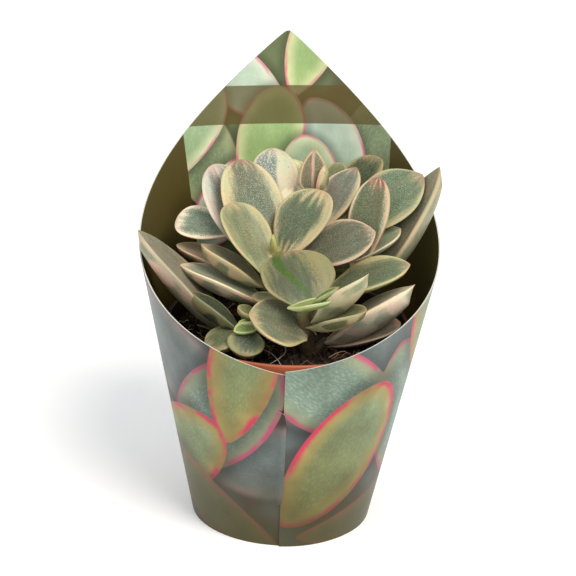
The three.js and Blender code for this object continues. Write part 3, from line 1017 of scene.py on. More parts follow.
    def board(self, name: str, turn: np.ndarray, height: np.ndarray, lift: np.ndarray,
              thickness: float) -> bpy.types.Mesh:
        """Makes a piece of card: two walls a thickness apart, joined along the cut edges.

        Args:
            name: the mesh's name.
            turn: radians from the front, one row a line up the wall.
            height: millimetres above the ground, of the same shape.
            lift: how far the outer wall stands off the cone.
            thickness: of the card.

        Returns:
            The mesh with its fields and the numbers of its three materials.
        """
        columns, rows = turn.shape
        walls, fields = [], []
        for inward, motifs in ((0.0, OUTSIDE_MOTIFS), (thickness, INSIDE_MOTIFS)):
            radius = self.foot_radius + self.slope * height + lift - inward
            wall = np.stack([radius * np.sin(turn), -radius * np.cos(turn), height], -1)
            walls.append(wall.reshape(-1, 3))
            side, up, climb = (part.ravel() for part in self.sheet(turn, height))
            left = self.panel_left[0] + self.panel_left[1] * (up - self.panel_middle)
            middle = self.band_middle[0] + self.band_middle[1] * side
            fields.append({
                **self.layer_fields(motifs, side, up),
                "sheet": np.stack([side, up, np.zeros_like(side)], -1),
                "climb": climb,
                "panel": np.minimum(side - left, self.panel_right - side),
                "band": self.band_half - np.abs(up - middle),
            })
        count = columns * rows
        wall = grid_faces(columns, rows, closed=False)
        column = np.arange(columns - 1) * rows
        row = np.arange(rows - 1)
        rim, last = column + rows - 1, (columns - 1) * rows
        foot = np.stack([column + count, column + count + rows, column + rows, column], -1)
        crest = np.stack([rim, rim + rows, rim + rows + count, rim + count], -1)
        start = np.stack([row + count, row, row + 1, row + 1 + count], -1)
        end = np.stack([row + last, row + last + count, row + last + count + 1, row + last + 1], -1)
        faces = [wall[:, ::-1], wall + count, foot, crest, start, end]
        both = {key: np.concatenate([fields[0][key], fields[1][key]]) for key in fields[0]}
        mesh = make_mesh(name, np.concatenate(walls), faces, both)
        numbers = np.repeat([0, 1, 2, 2, 2, 2], [len(group) for group in faces])
        mesh.polygons.foreach_set("material_index", numbers.astype(np.int32))
        mesh.set_sharp_from_angle(angle=math.radians(self.sharp))
        return mesh

    def tab(self) -> bpy.types.Mesh:
        """The tongue cut from the inner end, which comes out through the slits and laps over the outer end.

        Its free edge is a flat superellipse up the wall, and its lift eases from the wall's face to clear
        of the outer end.
        """
        height = np.linspace(*self.tab_heights, self.tab_rows)
        middle, half = np.mean(self.tab_heights), 0.5 * np.ptp(self.tab_heights)
        bulge = (1 - np.abs((height - middle) / half) ** self.tab_square) ** self.tab_corner
        root, neck, reach = self.tab_angles
        edge = neck + (reach - neck) * bulge
        share = np.linspace(0, 1, self.tab_columns)[:, None]
        turn = np.radians(root + (edge - root)[None] * share)
        climbed = smooth(*(math.radians(angle) for angle in self.tab_rise), turn)
        lift = self.tab_gap + (self.seam_lift + self.tab_thickness + self.tab_gap) * climbed
        height = np.broadcast_to(height[None], turn.shape)
        return self.board("card_sleeve_tab", turn + 2 * math.pi, height, lift, self.tab_thickness)

    def build(self) -> None:
        """Makes the wrapped sheet and its tab."""
        angle = np.linspace(0, 2 * math.pi + math.radians(self.overlap), self.columns)
        top = self.edge_height(np.minimum(angle, 2 * math.pi))
        height = top[:, None] * np.linspace(0, 1, self.rows)[None]
        turn = np.broadcast_to(angle[:, None], height.shape)
        mesh = self.board("card_sleeve_sheet", turn, height, self.lift(turn), self.thickness)
        materials = [OUTSIDE_BOARD.build(), INSIDE_BOARD.build(), CutBoard().build()]
        add_piece(mesh, materials, "printed_card", "card_sleeve")
        add_piece(self.tab(), materials, "printed_card")


# The nursery pot

@dataclass
class NurseryPot:
    """The pot: a thin tapered wall with a stepped rim band, and a floor with drain holes."""

    height: float = 90.0
    foot_radius: float = 38.3
    shoulder_radius: float = 50.2
    rim_radius: float = 52.5
    band_height: float = 8.0
    wall: float = 1.1
    lip: float = 1.7
    floor: float = 1.4
    edge: float = 0.5  # bevel on the edges of the rim band
    foot_bevel: float = 0.8
    inner_step: float = 2.0  # height of the slope inside, under the rim band
    lip_steps: int = 7
    sides: int = 144
    drain_holes: int = 8
    drain_radius: float = 3.2
    drain_circle: float = 27.0
    drain_sides: int = 24
    sharp: float = 35.0  # degrees from which a fold shows as an edge

    def wall_radius(self, z: float) -> float:
        """Outside radius of the plain wall at a height."""
        widening = self.shoulder_radius - self.foot_radius
        return self.foot_radius + widening * z / (self.height - self.band_height)

    def profile(self) -> np.ndarray:
        """Radius and height along the section, from the underside's middle round to the floor's."""
        shoulder, bevel, step = self.height - self.band_height, self.foot_bevel, self.inner_step
        half = self.lip / 2
        rim = [
            (self.rim_radius - half + half * math.cos(a), self.height - half + half * math.sin(a))
            for a in np.linspace(0, math.pi, self.lip_steps)
        ]
        return np.array([
            (0, 0), (self.wall_radius(0) - bevel, 0), (self.wall_radius(bevel), bevel),
            (self.shoulder_radius, shoulder), (self.rim_radius - self.edge, shoulder + self.edge),
            (self.rim_radius, shoulder + 2 * self.edge), *rim,
            (self.rim_radius - self.lip - self.edge, shoulder - self.edge),
            (self.wall_radius(shoulder - step) - self.wall, shoulder - step),
            (self.wall_radius(self.floor) - self.wall, self.floor), (0, self.floor),
        ])

    def build(self) -> None:
        """Turns the profile round the axis and cuts the drain holes."""
        profile = self.profile()
        turn = circle(self.sides)
        rings = profile[1:-1]
        points = np.stack([
            rings[:, :1] * np.cos(turn)[None], rings[:, :1] * np.sin(turn)[None],
            np.broadcast_to(rings[:, 1:], (len(rings), self.sides)),
        ], -1).reshape(-1, 3)
        points = np.concatenate([points, [(0, 0, 0), (0, 0, self.floor)]])
        mesh = self.drained(make_mesh("nursery_pot_shell", points, capped_faces(len(rings), self.sides)))
        mesh.set_sharp_from_angle(angle=math.radians(self.sharp))
        add_piece(mesh, [PotPlastic().build()], "pot_plastic", "nursery_pot")

    def drained(self, mesh: bpy.types.Mesh) -> bpy.types.Mesh:
        """Cuts round drain holes through the floor.

        Args:
            mesh: the closed pot.

        Returns:
            The pot's mesh with the holes.
        """
        pins = []
        for i in range(self.drain_holes):
            angle = 2 * math.pi * (i + 0.5) / self.drain_holes
            x, y = self.drain_circle * math.cos(angle), self.drain_circle * math.sin(angle)
            path = np.array([(x, y, z) for z in np.linspace(-2 * self.floor, 3 * self.floor, 4)])
            pins.append(tube(path, np.full(len(path), self.drain_radius), self.drain_sides))
        cutter = new_object("drain_pins", make_mesh("drain_pins", *joined(pins)))
        pot = new_object("pot_blank", mesh)
        cut = pot.modifiers.new("drain", "BOOLEAN")
        cut.operation, cut.solver, cut.object = "DIFFERENCE", "EXACT", cutter
        drained = evaluated_mesh(pot, "nursery_pot_shell")
        for piece in (cutter, pot):
            bpy.data.objects.remove(piece)
        return drained


# The soil

@dataclass
class Soil:
    """Peat compost: a lumpy top with loose crumbs and dry fibres on it."""

    level: float = 83.0
    lump: float = 1.1
    lump_scale: tuple[float, float] = (6.1, 5.3)  # of the lumps, along x and y
    crumb: float = 0.6
    crumb_scale: tuple[float, float] = (2.7, 3.1)
    radius: float = 48.4
    foot_radius: float = 37.0
    foot: float = 1.75
    rings: int = 100
    sides: int = 240
    crumbs: int = 620
    fibres: int = 230
    waves: tuple[float, float] = (0.45, 0.28)  # heights of the fine and the finest waves
    crumb_size: tuple[float, float] = (0.25, 2.3)  # the least, and what the largest has on top of it
    crumb_power: float = 1.6  # how much small crumbs outnumber large ones
    crumb_flat: float = 0.45  # a crumb's least width as a share of its size
    crumb_dent: float = 0.22
    crumb_rise: float = 0.3  # how far its middle stands over the soil, as a share of its least width
    crumb_margin: float = 1.0  # how far the outermost lie inside the soil's edge
    crumb_grid: tuple[int, int] = (5, 8)  # rings and sides of its mesh
    fibre_length: tuple[float, float] = (3, 15)
    fibre_bend: float = 0.9
    fibre_steps: int = 8
    fibre_sides: int = 5
    fibre_radius: tuple[float, float] = (0.12, 0.34)
    fibre_taper: float = 0.5
    fibre_margins: tuple[float, float] = (4.0, 0.6)  # how far inside the soil's edge they start, and stay
    fibre_arch: tuple[float, float] = (0.3, 2.4)
    fibre_clearance: float = 0.25  # how far a fibre lies over the soil
    fibre_tints: tuple[str, ...] = ("#b79a6c", "#7a5236", "#4a3524", "#c9b48c", "#8c6a45", "#9b4b2c")

    def __post_init__(self) -> None:
        """Draws the soil's fine waves."""
        self.fine = Waves("soil_fine", size=3.4, count=26)
        self.finest = Waves("soil_finest", size=1.5, count=30)

    def height(self, x: np.ndarray, y: np.ndarray) -> np.ndarray:
        """Height of the top: large and small sine lumps, and finer noise on them."""
        lumps = self.lump * np.sin(x / self.lump_scale[0] + 1) * np.cos(y / self.lump_scale[1] + 0.4)
        crumbs = self.crumb * np.sin(x / self.crumb_scale[0] + 2) * np.sin(y / self.crumb_scale[1])
        fine, finest = self.waves
        return self.level + lumps + crumbs + fine * self.fine(x, y) + finest * self.finest(x, y)

    def build(self) -> None:
        """Makes the soil body, its crumbs and its fibres."""
        peat = Peat().build()
        add_piece(self.body(), [peat], "soil", "soil")
        add_piece(self.loose_crumbs(), [peat], "soil")
        add_piece(self.loose_fibres(), [PlantFibre().build()], "soil")

    def body(self) -> bpy.types.Mesh:
        """The filled pot's soil: a tapered side under a polar grid of the top."""
        turn = circle(self.sides)
        radii = self.radius * np.linspace(1, 0, self.rings, endpoint=False)
        x = radii[:, None] * np.cos(turn)[None]
        y = radii[:, None] * np.sin(turn)[None]
        top = np.stack([x, y, self.height(x, y)], -1)
        foot = np.full(self.sides, self.foot)
        low = np.stack([self.foot_radius * np.cos(turn), self.foot_radius * np.sin(turn), foot], -1)
        middle = float(self.height(*np.zeros((2, 1)))[0])
        points = np.concatenate([low, top.reshape(-1, 3), [(0, 0, self.foot), (0, 0, middle)]])
        return make_mesh("soil_body", points, capped_faces(self.rings + 1, self.sides))

    def loose_crumbs(self) -> bpy.types.Mesh:
        """Loose crumbs and chips: round lumps, each squashed, dented by a sine and turned at random."""
        rng = seeded("crumbs")
        parts = []
        rings, sides = self.crumb_grid
        turn = circle(sides)[None]
        tilt = np.linspace(0, math.pi, rings + 2)[1:-1, None]
        round_wall = (np.sin(tilt) * np.cos(turn), np.sin(tilt) * np.sin(turn))
        ball = np.stack([*round_wall, np.broadcast_to(-np.cos(tilt), (rings, sides))], -1).reshape(-1, 3)
        ball = np.concatenate([ball, [(0, 0, -1), (0, 0, 1)]])
        faces = capped_faces(rings, sides)
        for _ in range(self.crumbs):
            far = (self.radius - self.crumb_margin) * math.sqrt(rng.uniform(0, 1))
            around = rng.uniform(0, 2 * math.pi)
            place = np.array([far * math.cos(around), far * math.sin(around)])
            size = rng.uniform(0.35, 1.0) ** self.crumb_power * self.crumb_size[1] + self.crumb_size[0]
            shape = size * rng.uniform(self.crumb_flat, 1.0, 3)
            dent = 1 + self.crumb_dent * np.sin(ball @ rng.normal(0, 3.2, 3) + rng.uniform(0, 6))
            matrix, _upper = np.linalg.qr(rng.normal(size=(3, 3)))
            if np.linalg.det(matrix) < 0:
                matrix[:, 0] *= -1
            lump = (ball * dent[:, None] * shape) @ matrix.T
            z = float(self.height(place[:1], place[1:])[0]) + self.crumb_rise * shape.min()
            parts.append((lump + np.array([*place, z]), faces))
        return make_mesh("soil_crumbs", *joined(parts))

    def loose_fibres(self) -> bpy.types.Mesh:
        """Straw, roots and hairs lying on the soil: thin tubes on slowly turning paths."""
        rng = seeded("fibres")
        parts, colours = [], []
        for _ in range(self.fibres):
            far = (self.radius - self.fibre_margins[0]) * math.sqrt(rng.uniform(0, 1))
            around, heading = rng.uniform(0, 2 * math.pi, 2)
            length, bend = rng.uniform(*self.fibre_length), rng.normal(0, self.fibre_bend)
            s = np.linspace(0, 1, self.fibre_steps)
            way = heading + bend * s
            x = far * math.cos(around) + np.cumsum(np.cos(way)) * length / len(s)
            y = far * math.sin(around) + np.cumsum(np.sin(way)) * length / len(s)
            limit = self.radius - self.fibre_margins[1]
            pull = np.minimum(1, limit / np.maximum(np.hypot(x, y), 1e-6))
            x, y = x * pull, y * pull
            arch = rng.uniform(*self.fibre_arch) * np.sin(math.pi * s)
            path = np.stack([x, y, self.height(x, y) + self.fibre_clearance + arch], -1)
            radius = rng.uniform(*self.fibre_radius) * (1 - self.fibre_taper * s)
            parts.append(tube(path, radius, self.fibre_sides))
            colours.append((self.fibre_tints[rng.integers(len(self.fibre_tints))], len(parts[-1][0])))
        for strand in HAIRS:
            s = np.linspace(0, 1, strand.steps)
            parts.append(tube(strand.path(s), strand.radius * (1 - strand.taper * s), strand.sides))
            colours.append((strand.tint, len(parts[-1][0])))
        tint = np.concatenate([np.tile(linear(hex_colour), (count, 1)) for hex_colour, count in colours])
        return make_mesh("soil_fibres", *joined(parts), {"tint": tint})


@dataclass(frozen=True)
class Hair:
    """A hair, straw or root with a place of its own: two ends, the sag or arch between them, and a tint."""

    start: tuple[float, float, float]
    end: tuple[float, float, float]
    bow: tuple[float, float, float]
    radius: float
    tint: str
    steps: int = 14
    sides: int = 6
    taper: float = 0.35

    def path(self, s: np.ndarray) -> np.ndarray:
        """Points from start to end, bowed by a parabola 4s(1-s)."""
        start, end, bow = np.array(self.start), np.array(self.end), np.array(self.bow)
        return start + (end - start) * s[:, None] + bow * (4 * s * (1 - s))[:, None]


HAIRS = (
    Hair((-0.6, -27.9, 88), (-6.5, -42.5, 86.5), (2.6, -1.0, 1.0), 0.18, "#cfc8bb"),
    Hair((-10.5, -29.0, 87.5), (-1.8, -43.0, 86.0), (0.6, 0.6, 0.8), 0.18, "#cfc8bb"),
    Hair((-36.5, 3.0, 86), (-29.0, -22.0, 85.5), (0, 0, 1.5), 0.7, "#a98f6a"),
    Hair((-39.0, -2.0, 86), (-27.0, -17.0, 86), (0, 0, 1.2), 0.4, "#c2a67c"),
    Hair((-33.0, 6.0, 86), (-31.5, -16.0, 86), (1.5, 0, 0.8), 0.35, "#8b6a4b"),
    Hair((-56.5, 31.0, 122), (-50.0, 22.0, 103), (-3.5, 1.0, -2.0), 0.16, "#b3602c"),
    Hair((41.5, -6.0, 86), (47.5, 3.0, 101), (1.5, 0, 1.5), 0.42, "#a9573c"),
    Hair((43.5, -2.0, 86), (50.0, 1.0, 98), (-0.5, 1, 1.0), 0.4, "#b87558"),
    Hair((40.0, 1.0, 86), (51.5, 5.0, 103), (2.0, 0, -1.0), 0.34, "#a9573c"),
    Hair((45.0, 4.0, 86), (45.5, -4.0, 99), (2.0, 0, 1.0), 0.36, "#8d4a36"),
)


# The plant

class Tip(Enum):
    """How a blade ends: the exponent on its width towards the end, larger where it is more pointed."""

    ROUND = 0.46
    BLUNT = 0.57
    POINTED = 0.78
    SHARP = 1.1


@dataclass(frozen=True)
class Look:
    """Colours of one blade and where its green lies.

    The margins are shares of the half width, plus on the side towards the azimuth turned left and minus
    on the other; foot and tip are shares of the length. Cream shows there, and green in between.
    """

    pigment: str
    pale: str
    plus: float = 0.14
    minus: float = 0.14
    foot: float = 0.1
    tip: float = 0.06
    soft: float = 0.24  # share of the half width over which the green thins out
    under: str = ""
    patch: str = ""
    patches: float = 0.1  # how far green patches cover the underside, from -1 to 1
    rim: str = "#b58c74"
    rim_share: float = 0.65
    blush: str = "#a97a64"
    blush_share: float = 0.35
    frost: float = 0.12
    comb: float = 0.04  # how far single streaks run on towards the foot and the tip
    waver: float = 0.05  # how far the green's side edges waver
    end_soft: float = 0.16  # share of the length over which the green thins out at both ends
    clear_mm: tuple[float, float] = (0.5, 1.3)  # the green sets in this far from the margin
    clear_share: float = 0.9
    under_mm: tuple[float, float] = (0.3, 1.2)  # the underside's colours set in this far from it
    patch_mm: float = 13.0
    patch_depth: float = 0.8
    rim_mm: tuple[float, float] = (0.2, 0.75)  # the rim's colour fades out this far from the margin
    blush_start: float = 0.88  # share of the length where the tip's blush sets in
    stripe: str = ""
    stripe_slope: float = 0.8  # half widths a length
    stripe_start: float = 0.1  # share of the length where the stripe crosses the midrib
    stripe_mm: float = 1.0  # half its width at the tip
    stripe_edge: tuple[float, float] = (0.75, 1.25)  # it fades out between these shares of its half width
    stripe_foot: tuple[float, float] = (0.12, 0.2)  # shares of the length between which it sets in


@dataclass(frozen=True)
class Blade:
    """One leaf: where its foot is, where it points, how it bends, its size, and its look."""

    name: str
    foot: tuple[float, float, float]
    azimuth: float
    rise: float
    bend: float
    length: float
    width: float
    thickness: float
    roll: float
    cup: float
    widest: float
    look: Look
    end: Tip = Tip.BLUNT
    keel: float = 0.25  # height of the ridge below the midrib
    keel_reach: float = 0.16  # its half width as a share of the blade's
    rings: int = 64
    sides: int = 64
    neck: float = 0.34  # width of the foot as a share of the full width
    grow_power: float = 1.3  # how the width grows from the neck to the widest place
    fall_power: float = 2.3  # how it falls from there on
    upper_share: float = 0.22  # share of the thickness above the margins
    end_body: float = 0.35  # thickness at both ends as a share of the full thickness
    swell_power: float = 0.7  # how fast it thickens from there
    lens_power: float = 1.9
    lens_shares: tuple[float, float] = (0.6, 0.55)  # above and below, a section is this much lens, not oval
    lip: float = 0.3  # height of the faint lip along the margins
    lip_place: float = 0.9  # where it stands, and its half width, as shares of the half width
    lip_reach: float = 0.07
    last_ring: float = 0.9996  # the last ring stops just short of the tip
    waver: float = 0.012  # how far the margins waver, as a share of the half width
    ripple: float = 0.12  # height of the skin's waves

    def widths(self, s: np.ndarray) -> np.ndarray:
        """Works out the share of the full width along the blade.

        It grows from the neck by a sine to the widest place, and past it falls by a bent ellipse.

        Args:
            s: places along the blade, from 0 at the foot to 1.

        Returns:
            The share at each place.
        """
        rising = np.sin(0.5 * math.pi * np.clip(s / self.widest, 0, 1))
        grow = self.neck + (1 - self.neck) * rising ** self.grow_power
        past = np.clip((s - self.widest) / (1 - self.widest), 0, 1)
        return np.where(s < self.widest, grow, (1 - past ** self.fall_power) ** self.end.value)

    def mesh(self, name: str) -> bpy.types.Mesh:
        """Makes the blade: oval sections along a midrib that bends in an arc.

        A section is a flat oval, its upper half flatter than its lower, raised to a keel below and to a
        faint lip above along both margins, and cupped by the square of the distance from the midrib.

        Args:
            name: the mesh's name.

        Returns:
            The mesh with its colour fields.
        """
        waves = Waves(name, size=0.55, count=12, dims=1)
        s = np.sin(0.5 * math.pi * np.linspace(0, 1, self.rings)) ** 1.1
        s[-1] = self.last_ring
        turn = circle(self.sides)
        rise, azimuth, roll = (math.radians(angle) for angle in (self.rise, self.azimuth, self.roll))
        bend = math.radians(self.bend) or 1e-6
        pitch = rise + bend * s
        ahead = np.array([math.sin(azimuth), -math.cos(azimuth), 0])
        across = np.array([math.cos(azimuth), math.sin(azimuth), 0])
        out = self.length * (np.sin(pitch) - math.sin(rise)) / bend
        up = self.length * (math.cos(rise) - np.cos(pitch)) / bend
        upright = np.array([0, 0, 1])
        midrib = np.array(self.foot) + out[:, None] * ahead + up[:, None] * upright
        flat = -np.sin(pitch)[:, None] * ahead + np.cos(pitch)[:, None] * upright
        side = math.cos(roll) * across + math.sin(roll) * flat
        face = math.cos(roll) * flat - math.sin(roll) * across
        share = self.widths(s)
        half = 0.5 * self.width * share
        swell = self.end_body + (1 - self.end_body) * np.sin(math.pi * s) ** self.swell_power
        body = self.thickness * swell * np.minimum(1, 2 * share)
        wide, high = np.cos(turn), np.sin(turn)
        lens = 1 - np.abs(wide) ** self.lens_power
        above, below = self.lens_shares
        upper = (high > 0) * self.upper_share * (above * lens + (1 - above) * np.abs(high))
        lower = (high <= 0) * (self.upper_share - 1) * (below * lens + (1 - below) * np.abs(high) ** 1.1)
        x = half[:, None] * wide[None] * (1 + self.waver * waves(s)[:, None])
        lip = self.lip * np.exp(-((np.abs(wide) - self.lip_place) / self.lip_reach) ** 2) * (high > 0)
        keel = self.keel * np.exp(-(wide / self.keel_reach) ** 2) * (high < 0)
        z = body[:, None] * (upper + lower)[None] + self.cup * (x / (0.5 * self.width)) ** 2
        z = z + np.minimum(1, 2 * share)[:, None] * (lip - keel)[None] * np.sin(math.pi * s)[:, None] ** 0.5
        ripple = Waves(name + "_ripple", size=0.9, count=10)
        ripples = ripple(np.broadcast_to(s[:, None], x.shape), x / self.width)
        z = z + self.ripple * ripples * np.sin(math.pi * s)[:, None]
        points = midrib[:, None] + x[..., None] * side[:, None] + z[..., None] * face[:, None]
        back = 0.5 * self.thickness * self.end_body * (math.cos(rise) * ahead + [0, 0, math.sin(rise)])
        points = np.concatenate([points.reshape(-1, 3), [midrib[0] - back, points[-1].mean(0)]])
        margin = half[:, None] * (1 - np.abs(wide))[None]
        spread = np.broadcast_arrays(s[:, None], wide[None], (high < 0)[None], x, z, margin)
        fields = self.fields(name, *(values.ravel() for values in spread))
        for key, values in fields.items():
            ends = (values[:self.sides].mean(0, keepdims=True), values[-self.sides:].mean(0, keepdims=True))
            fields[key] = np.concatenate([values, *ends])
        return make_mesh(name, points, capped_faces(self.rings, self.sides, turned=True), fields)

    def fields(self, name: str, s: np.ndarray, v: np.ndarray, below: np.ndarray,
               x: np.ndarray, z: np.ndarray, margin: np.ndarray) -> dict[str, np.ndarray]:
        """Works out the skin's fields: grain, how far the green covers, the frost, and the two colours.

        Args:
            name: seeds the patches.
            s: share of the length.
            v: share of the half width, -1 to 1.
            below: whether the place is on the underside.
            x: millimetres across.
            z: millimetres off the midrib's plane.
            margin: millimetres in from the nearest margin.

        Returns:
            The fields by name.
        """
        look = self.look
        apart = 40 * seeded(name).uniform(0, 9)  # so that no two leaves are streaked alike
        grain = np.stack([x, s * self.length, z + apart], -1)
        wobble = Waves(name + "_edge", size=0.7, count=10, dims=1)(s)
        streaks = Waves(name + "_streaks", size=0.4, count=14, dims=1)(v)
        reach = np.where(v > 0, 1 - look.plus - v, 1 - look.minus + v) + look.waver * wobble
        along = np.minimum(s - look.foot, 1 - look.tip - s) / look.end_soft + 4 * look.comb * streaks
        cover = 0.5 + 0.5 * np.minimum(reach / look.soft, along)
        cover = cover - look.clear_share * (1 - smooth(*look.clear_mm, margin))
        cover = np.clip(cover, -0.2, 1.2)
        pale, pigment = (np.tile(linear(colour), (len(s), 1)) for colour in (look.pale, look.pigment))
        if look.stripe:
            half = 0.5 * self.width * self.widths(s)
            gap = np.abs(v - look.stripe_slope * (s - look.stripe_start)) * half
            reach = look.stripe_mm * (0.5 + 0.5 * s)
            line = (1 - smooth(*look.stripe_edge, gap / reach)) * (1 - below) * smooth(*look.stripe_foot, s)
            pigment = mixed(pigment, look.stripe, line)
            cover = np.maximum(cover, 1.9 * line - 0.2)
        patches = Waves(name + "_patches", size=look.patch_mm, count=12)(x, s * self.length)
        under_cover = np.clip(0.5 + look.patches + look.patch_depth * patches, -0.2, 1.1)
        weight = below * smooth(*look.under_mm, margin)
        cover = cover + (under_cover - cover) * weight
        pale = mixed(pale, look.under or look.pale, weight)
        pigment = mixed(pigment, look.patch or look.pigment, weight)
        rim = look.rim_share * (1 - smooth(*look.rim_mm, margin)) * (0.65 + 0.35 * wobble)
        rim = np.clip(rim * smooth(0, 0.2, s), 0, 1)
        blush = look.blush_share * smooth(look.blush_start, 1, s + 0.03 * streaks)
        pale, pigment = (
            mixed(mixed(colours, look.rim, rim), look.blush, blush) for colours in (pale, pigment))
        frost = look.frost * (1 - rim) * (1 - 0.5 * weight)
        return {"grain": grain, "cover": cover, "frost": frost, "pale": pale, "pigment": pigment}


@dataclass(frozen=True)
class Shoot:
    """One stem with its leaves: where it leaves the soil, where it ends, and its radius at both."""

    name: str
    root: tuple[float, float, float]
    tip: tuple[float, float, float]
    radii: tuple[float, float]
    blades: tuple[Blade, ...]
    young: tuple[Blade, ...] = ()


MAIN_SHOOT = Shoot(
    "main", (-9, 2, 60), (-6, -5, 124), (4.6, 2.6),
    (
        Blade("upright", (-12, 4, 120), -157, 47, 2, 43, 29, 6, 5, 2.5, 0.5, Look(
            "#646b4f", "#cec49b", 0.36, 0.24, 0.1, 0.03, 0.34, rim="#ab7f62", blush="#7c5944",
            blush_share=0.75, frost=0.22)),
        Blade("inner_left", (-9, -14, 116), -135, 44, 0, 35, 21, 6, -8, 3, 0.6, Look(
            "#767a55", "#b6af82", 0.2, 0.3, soft=0.5, rim="#bbaf83"), Tip.ROUND),
        Blade("inner_right", (-3, -4, 120), 138, 46, 2, 34, 28, 6, 0, 3, 0.55, Look(
            "#5a664a", "#c8b88f", 0.14, 0.42, 0.12, 0.14, rim="#bb9d7d", comb=0.12), Tip.ROUND),
        Blade("broad_right", (3, -3, 118), 95, 22, 0, 36, 25, 6, 28, 2, 0.55, Look(
            "#62644f", "#c9b596", 0.1, 0.16, rim="#c98f92", rim_share=0.9, blush="#b5868a"), Tip.POINTED),
        Blade("back_left", (-13, 9, 113), -137, 45, 6, 48, 28, 6, -5, 2, 0.55, Look(
            "#7e7a70", "#d8cfc3", 0.35, 0.2, rim="#b09a88", frost=0.4)),
        Blade("mid_left", (-11, -8, 108), -101, 30, 0, 32, 20, 7, 8, 2.5, 0.5, Look(
            "#7e795f", "#c1b189", 0.04, 0.06, under="#bfa98c", patch="#808163", rim="#e7cca6"), Tip.POINTED),
        Blade("low_left", (-9, -10, 101), -98, 22, -4, 41, 24, 7, 6, 2.5, 0.5, Look(
            "#8e917d", "#fbe3c5", 0.05, 0.08, under="#e4c7b1", patch="#999782", rim="#fcdec0"), Tip.POINTED),
        Blade("far_left", (-18, 11, 105), -95, 21, 0, 34, 19, 5, 0, 2, 0.5, Look(
            "#9a8871", "#dbbda0", rim="#ecc6a4")),
    ),
    (
        Blade("bud_near", (-7, -7, 121), -20, 82, 0, 11, 3.4, 2, 0, 0, 0.4, Look(
            "#969851", "#b8b374", rim="#c0b883"), Tip.SHARP),
        Blade("bud_far", (-7, -5, 121), 160, 80, 0, 10, 3.4, 2, 0, 0, 0.4, Look(
            "#898b4a", "#a8a46a", rim="#b0a878"), Tip.SHARP),
    ),
)

BACK_SHOOT = Shoot(
    "back", (1, 16, 60), (0, 15, 125), (4.2, 2.4),
    (
        Blade("centre", (-6, 18, 125), -172, 48, 4, 38, 21, 6, 0, 2, 0.6, Look(
            "#6a776a", "#cfc7ab", 0.1, 0.88, 0.3, 0.05, 0.1, rim="#b8b08e", frost=0.6)),
        Blade("rear", (0, 24, 125), -178, 40, 0, 34, 20, 5, 0, 2, 0.6, Look("#989d70", "#e9ecbe")),
        Blade("inner", (2, 7, 121), -178, 40, 0, 31, 18, 5, 0, 2, 0.55, Look(
            "#9aa584", "#ddd3b4", 0.8, 0.8)),
        Blade("side", (-25, 15, 124), -100, 5, 0, 26, 19, 6, -30, 2, 0.6, Look(
            "#6f806c", "#f9e4cb", 0.2, 0.16, 0.1, 0.14, rim="#f0d3b9", frost=0.2), Tip.ROUND),
    ),
)

RIGHT_SHOOT = Shoot(
    "right", (20, 14, 60), (10, 24, 140), (4.6, 2.4),
    (
        Blade("inner", (12, 16, 126), 137, 46, 0, 33, 20, 5, 0, 2, 0.5, Look(
            "#7b7a6c", "#d8cba6", 0.12, 0.3, 0.2, 0.04, rim="#b08a74", blush="#7e5a48",
            blush_share=0.85, frost=0.15), Tip.POINTED),
        Blade("red_tip", (29, 2, 112), 152, 66, 0, 42, 18, 6, 6, 2, 0.6, Look(
            "#5f6445", "#d7c5a5", 0.06, 0.26, 0.1, 0.02, rim="#9b554d", rim_share=0.9, blush="#8e4d44",
            blush_share=0.9)),
        Blade("broad", (24, 16, 125), 106, 36, 0, 42, 31, 6, 22, 2, 0.55, Look(
            "#667656", "#beb891", 0.14, 0.2, 0.05, 0.04, 0.3, rim="#b6a985", blush="#906859",
            blush_share=0.7, frost=0.25), Tip.POINTED),
        Blade("rear", (18, 29, 126), 134, 43, 0, 36, 21, 5, 0, 2, 0.6, Look(
            "#3d4826", "#a59b71", 0.14, 0.22, rim="#998d66"), Tip.ROUND),
        Blade("hidden", (12, 31, 129), 150, 44, 0, 26, 14, 5, 0, 2, 0.5, Look("#6f704a", "#a59e77")),
        Blade("tall", (33, 4, 103), 124, 48, 12, 63, 26, 10, -12, 3, 0.45, Look(
            "#77715a", "#b1a282", 0.04, 0.05, 0.02, 0.02, under="#a6977c", patch="#8a886d",
            rim="#c1b192", rim_share=0.8, blush="#8a8468", frost=0.2), Tip.POINTED),
        Blade("short", (28, 5, 117), 106, 32, 0, 24, 14, 5, 15, 2, 0.6, Look(
            "#858c72", "#d3ccac", rim="#e7e0c8"), Tip.POINTED),
    ),
    (
        Blade("bud_near", (9, 23, 139), 180, 76, 0, 21, 13, 4, 0, 0, 0.3, Look(
            "#79745a", "#c9b690", 0.05, 0.05, 0.02, rim="#b98f76", rim_share=0.8, blush="#7a4a40",
            stripe="#c4a088", stripe_slope=0.15, stripe_mm=0.8), Tip.SHARP),
        Blade("bud_far", (12, 23, 139), 60, 84, 0, 15, 9, 4, 0, 0, 0.35, Look(
            "#7d7a5a", "#c9b890", 0.1, 0.3, rim="#c98f7c", blush="#7a4a40"), Tip.SHARP),
    ),
)

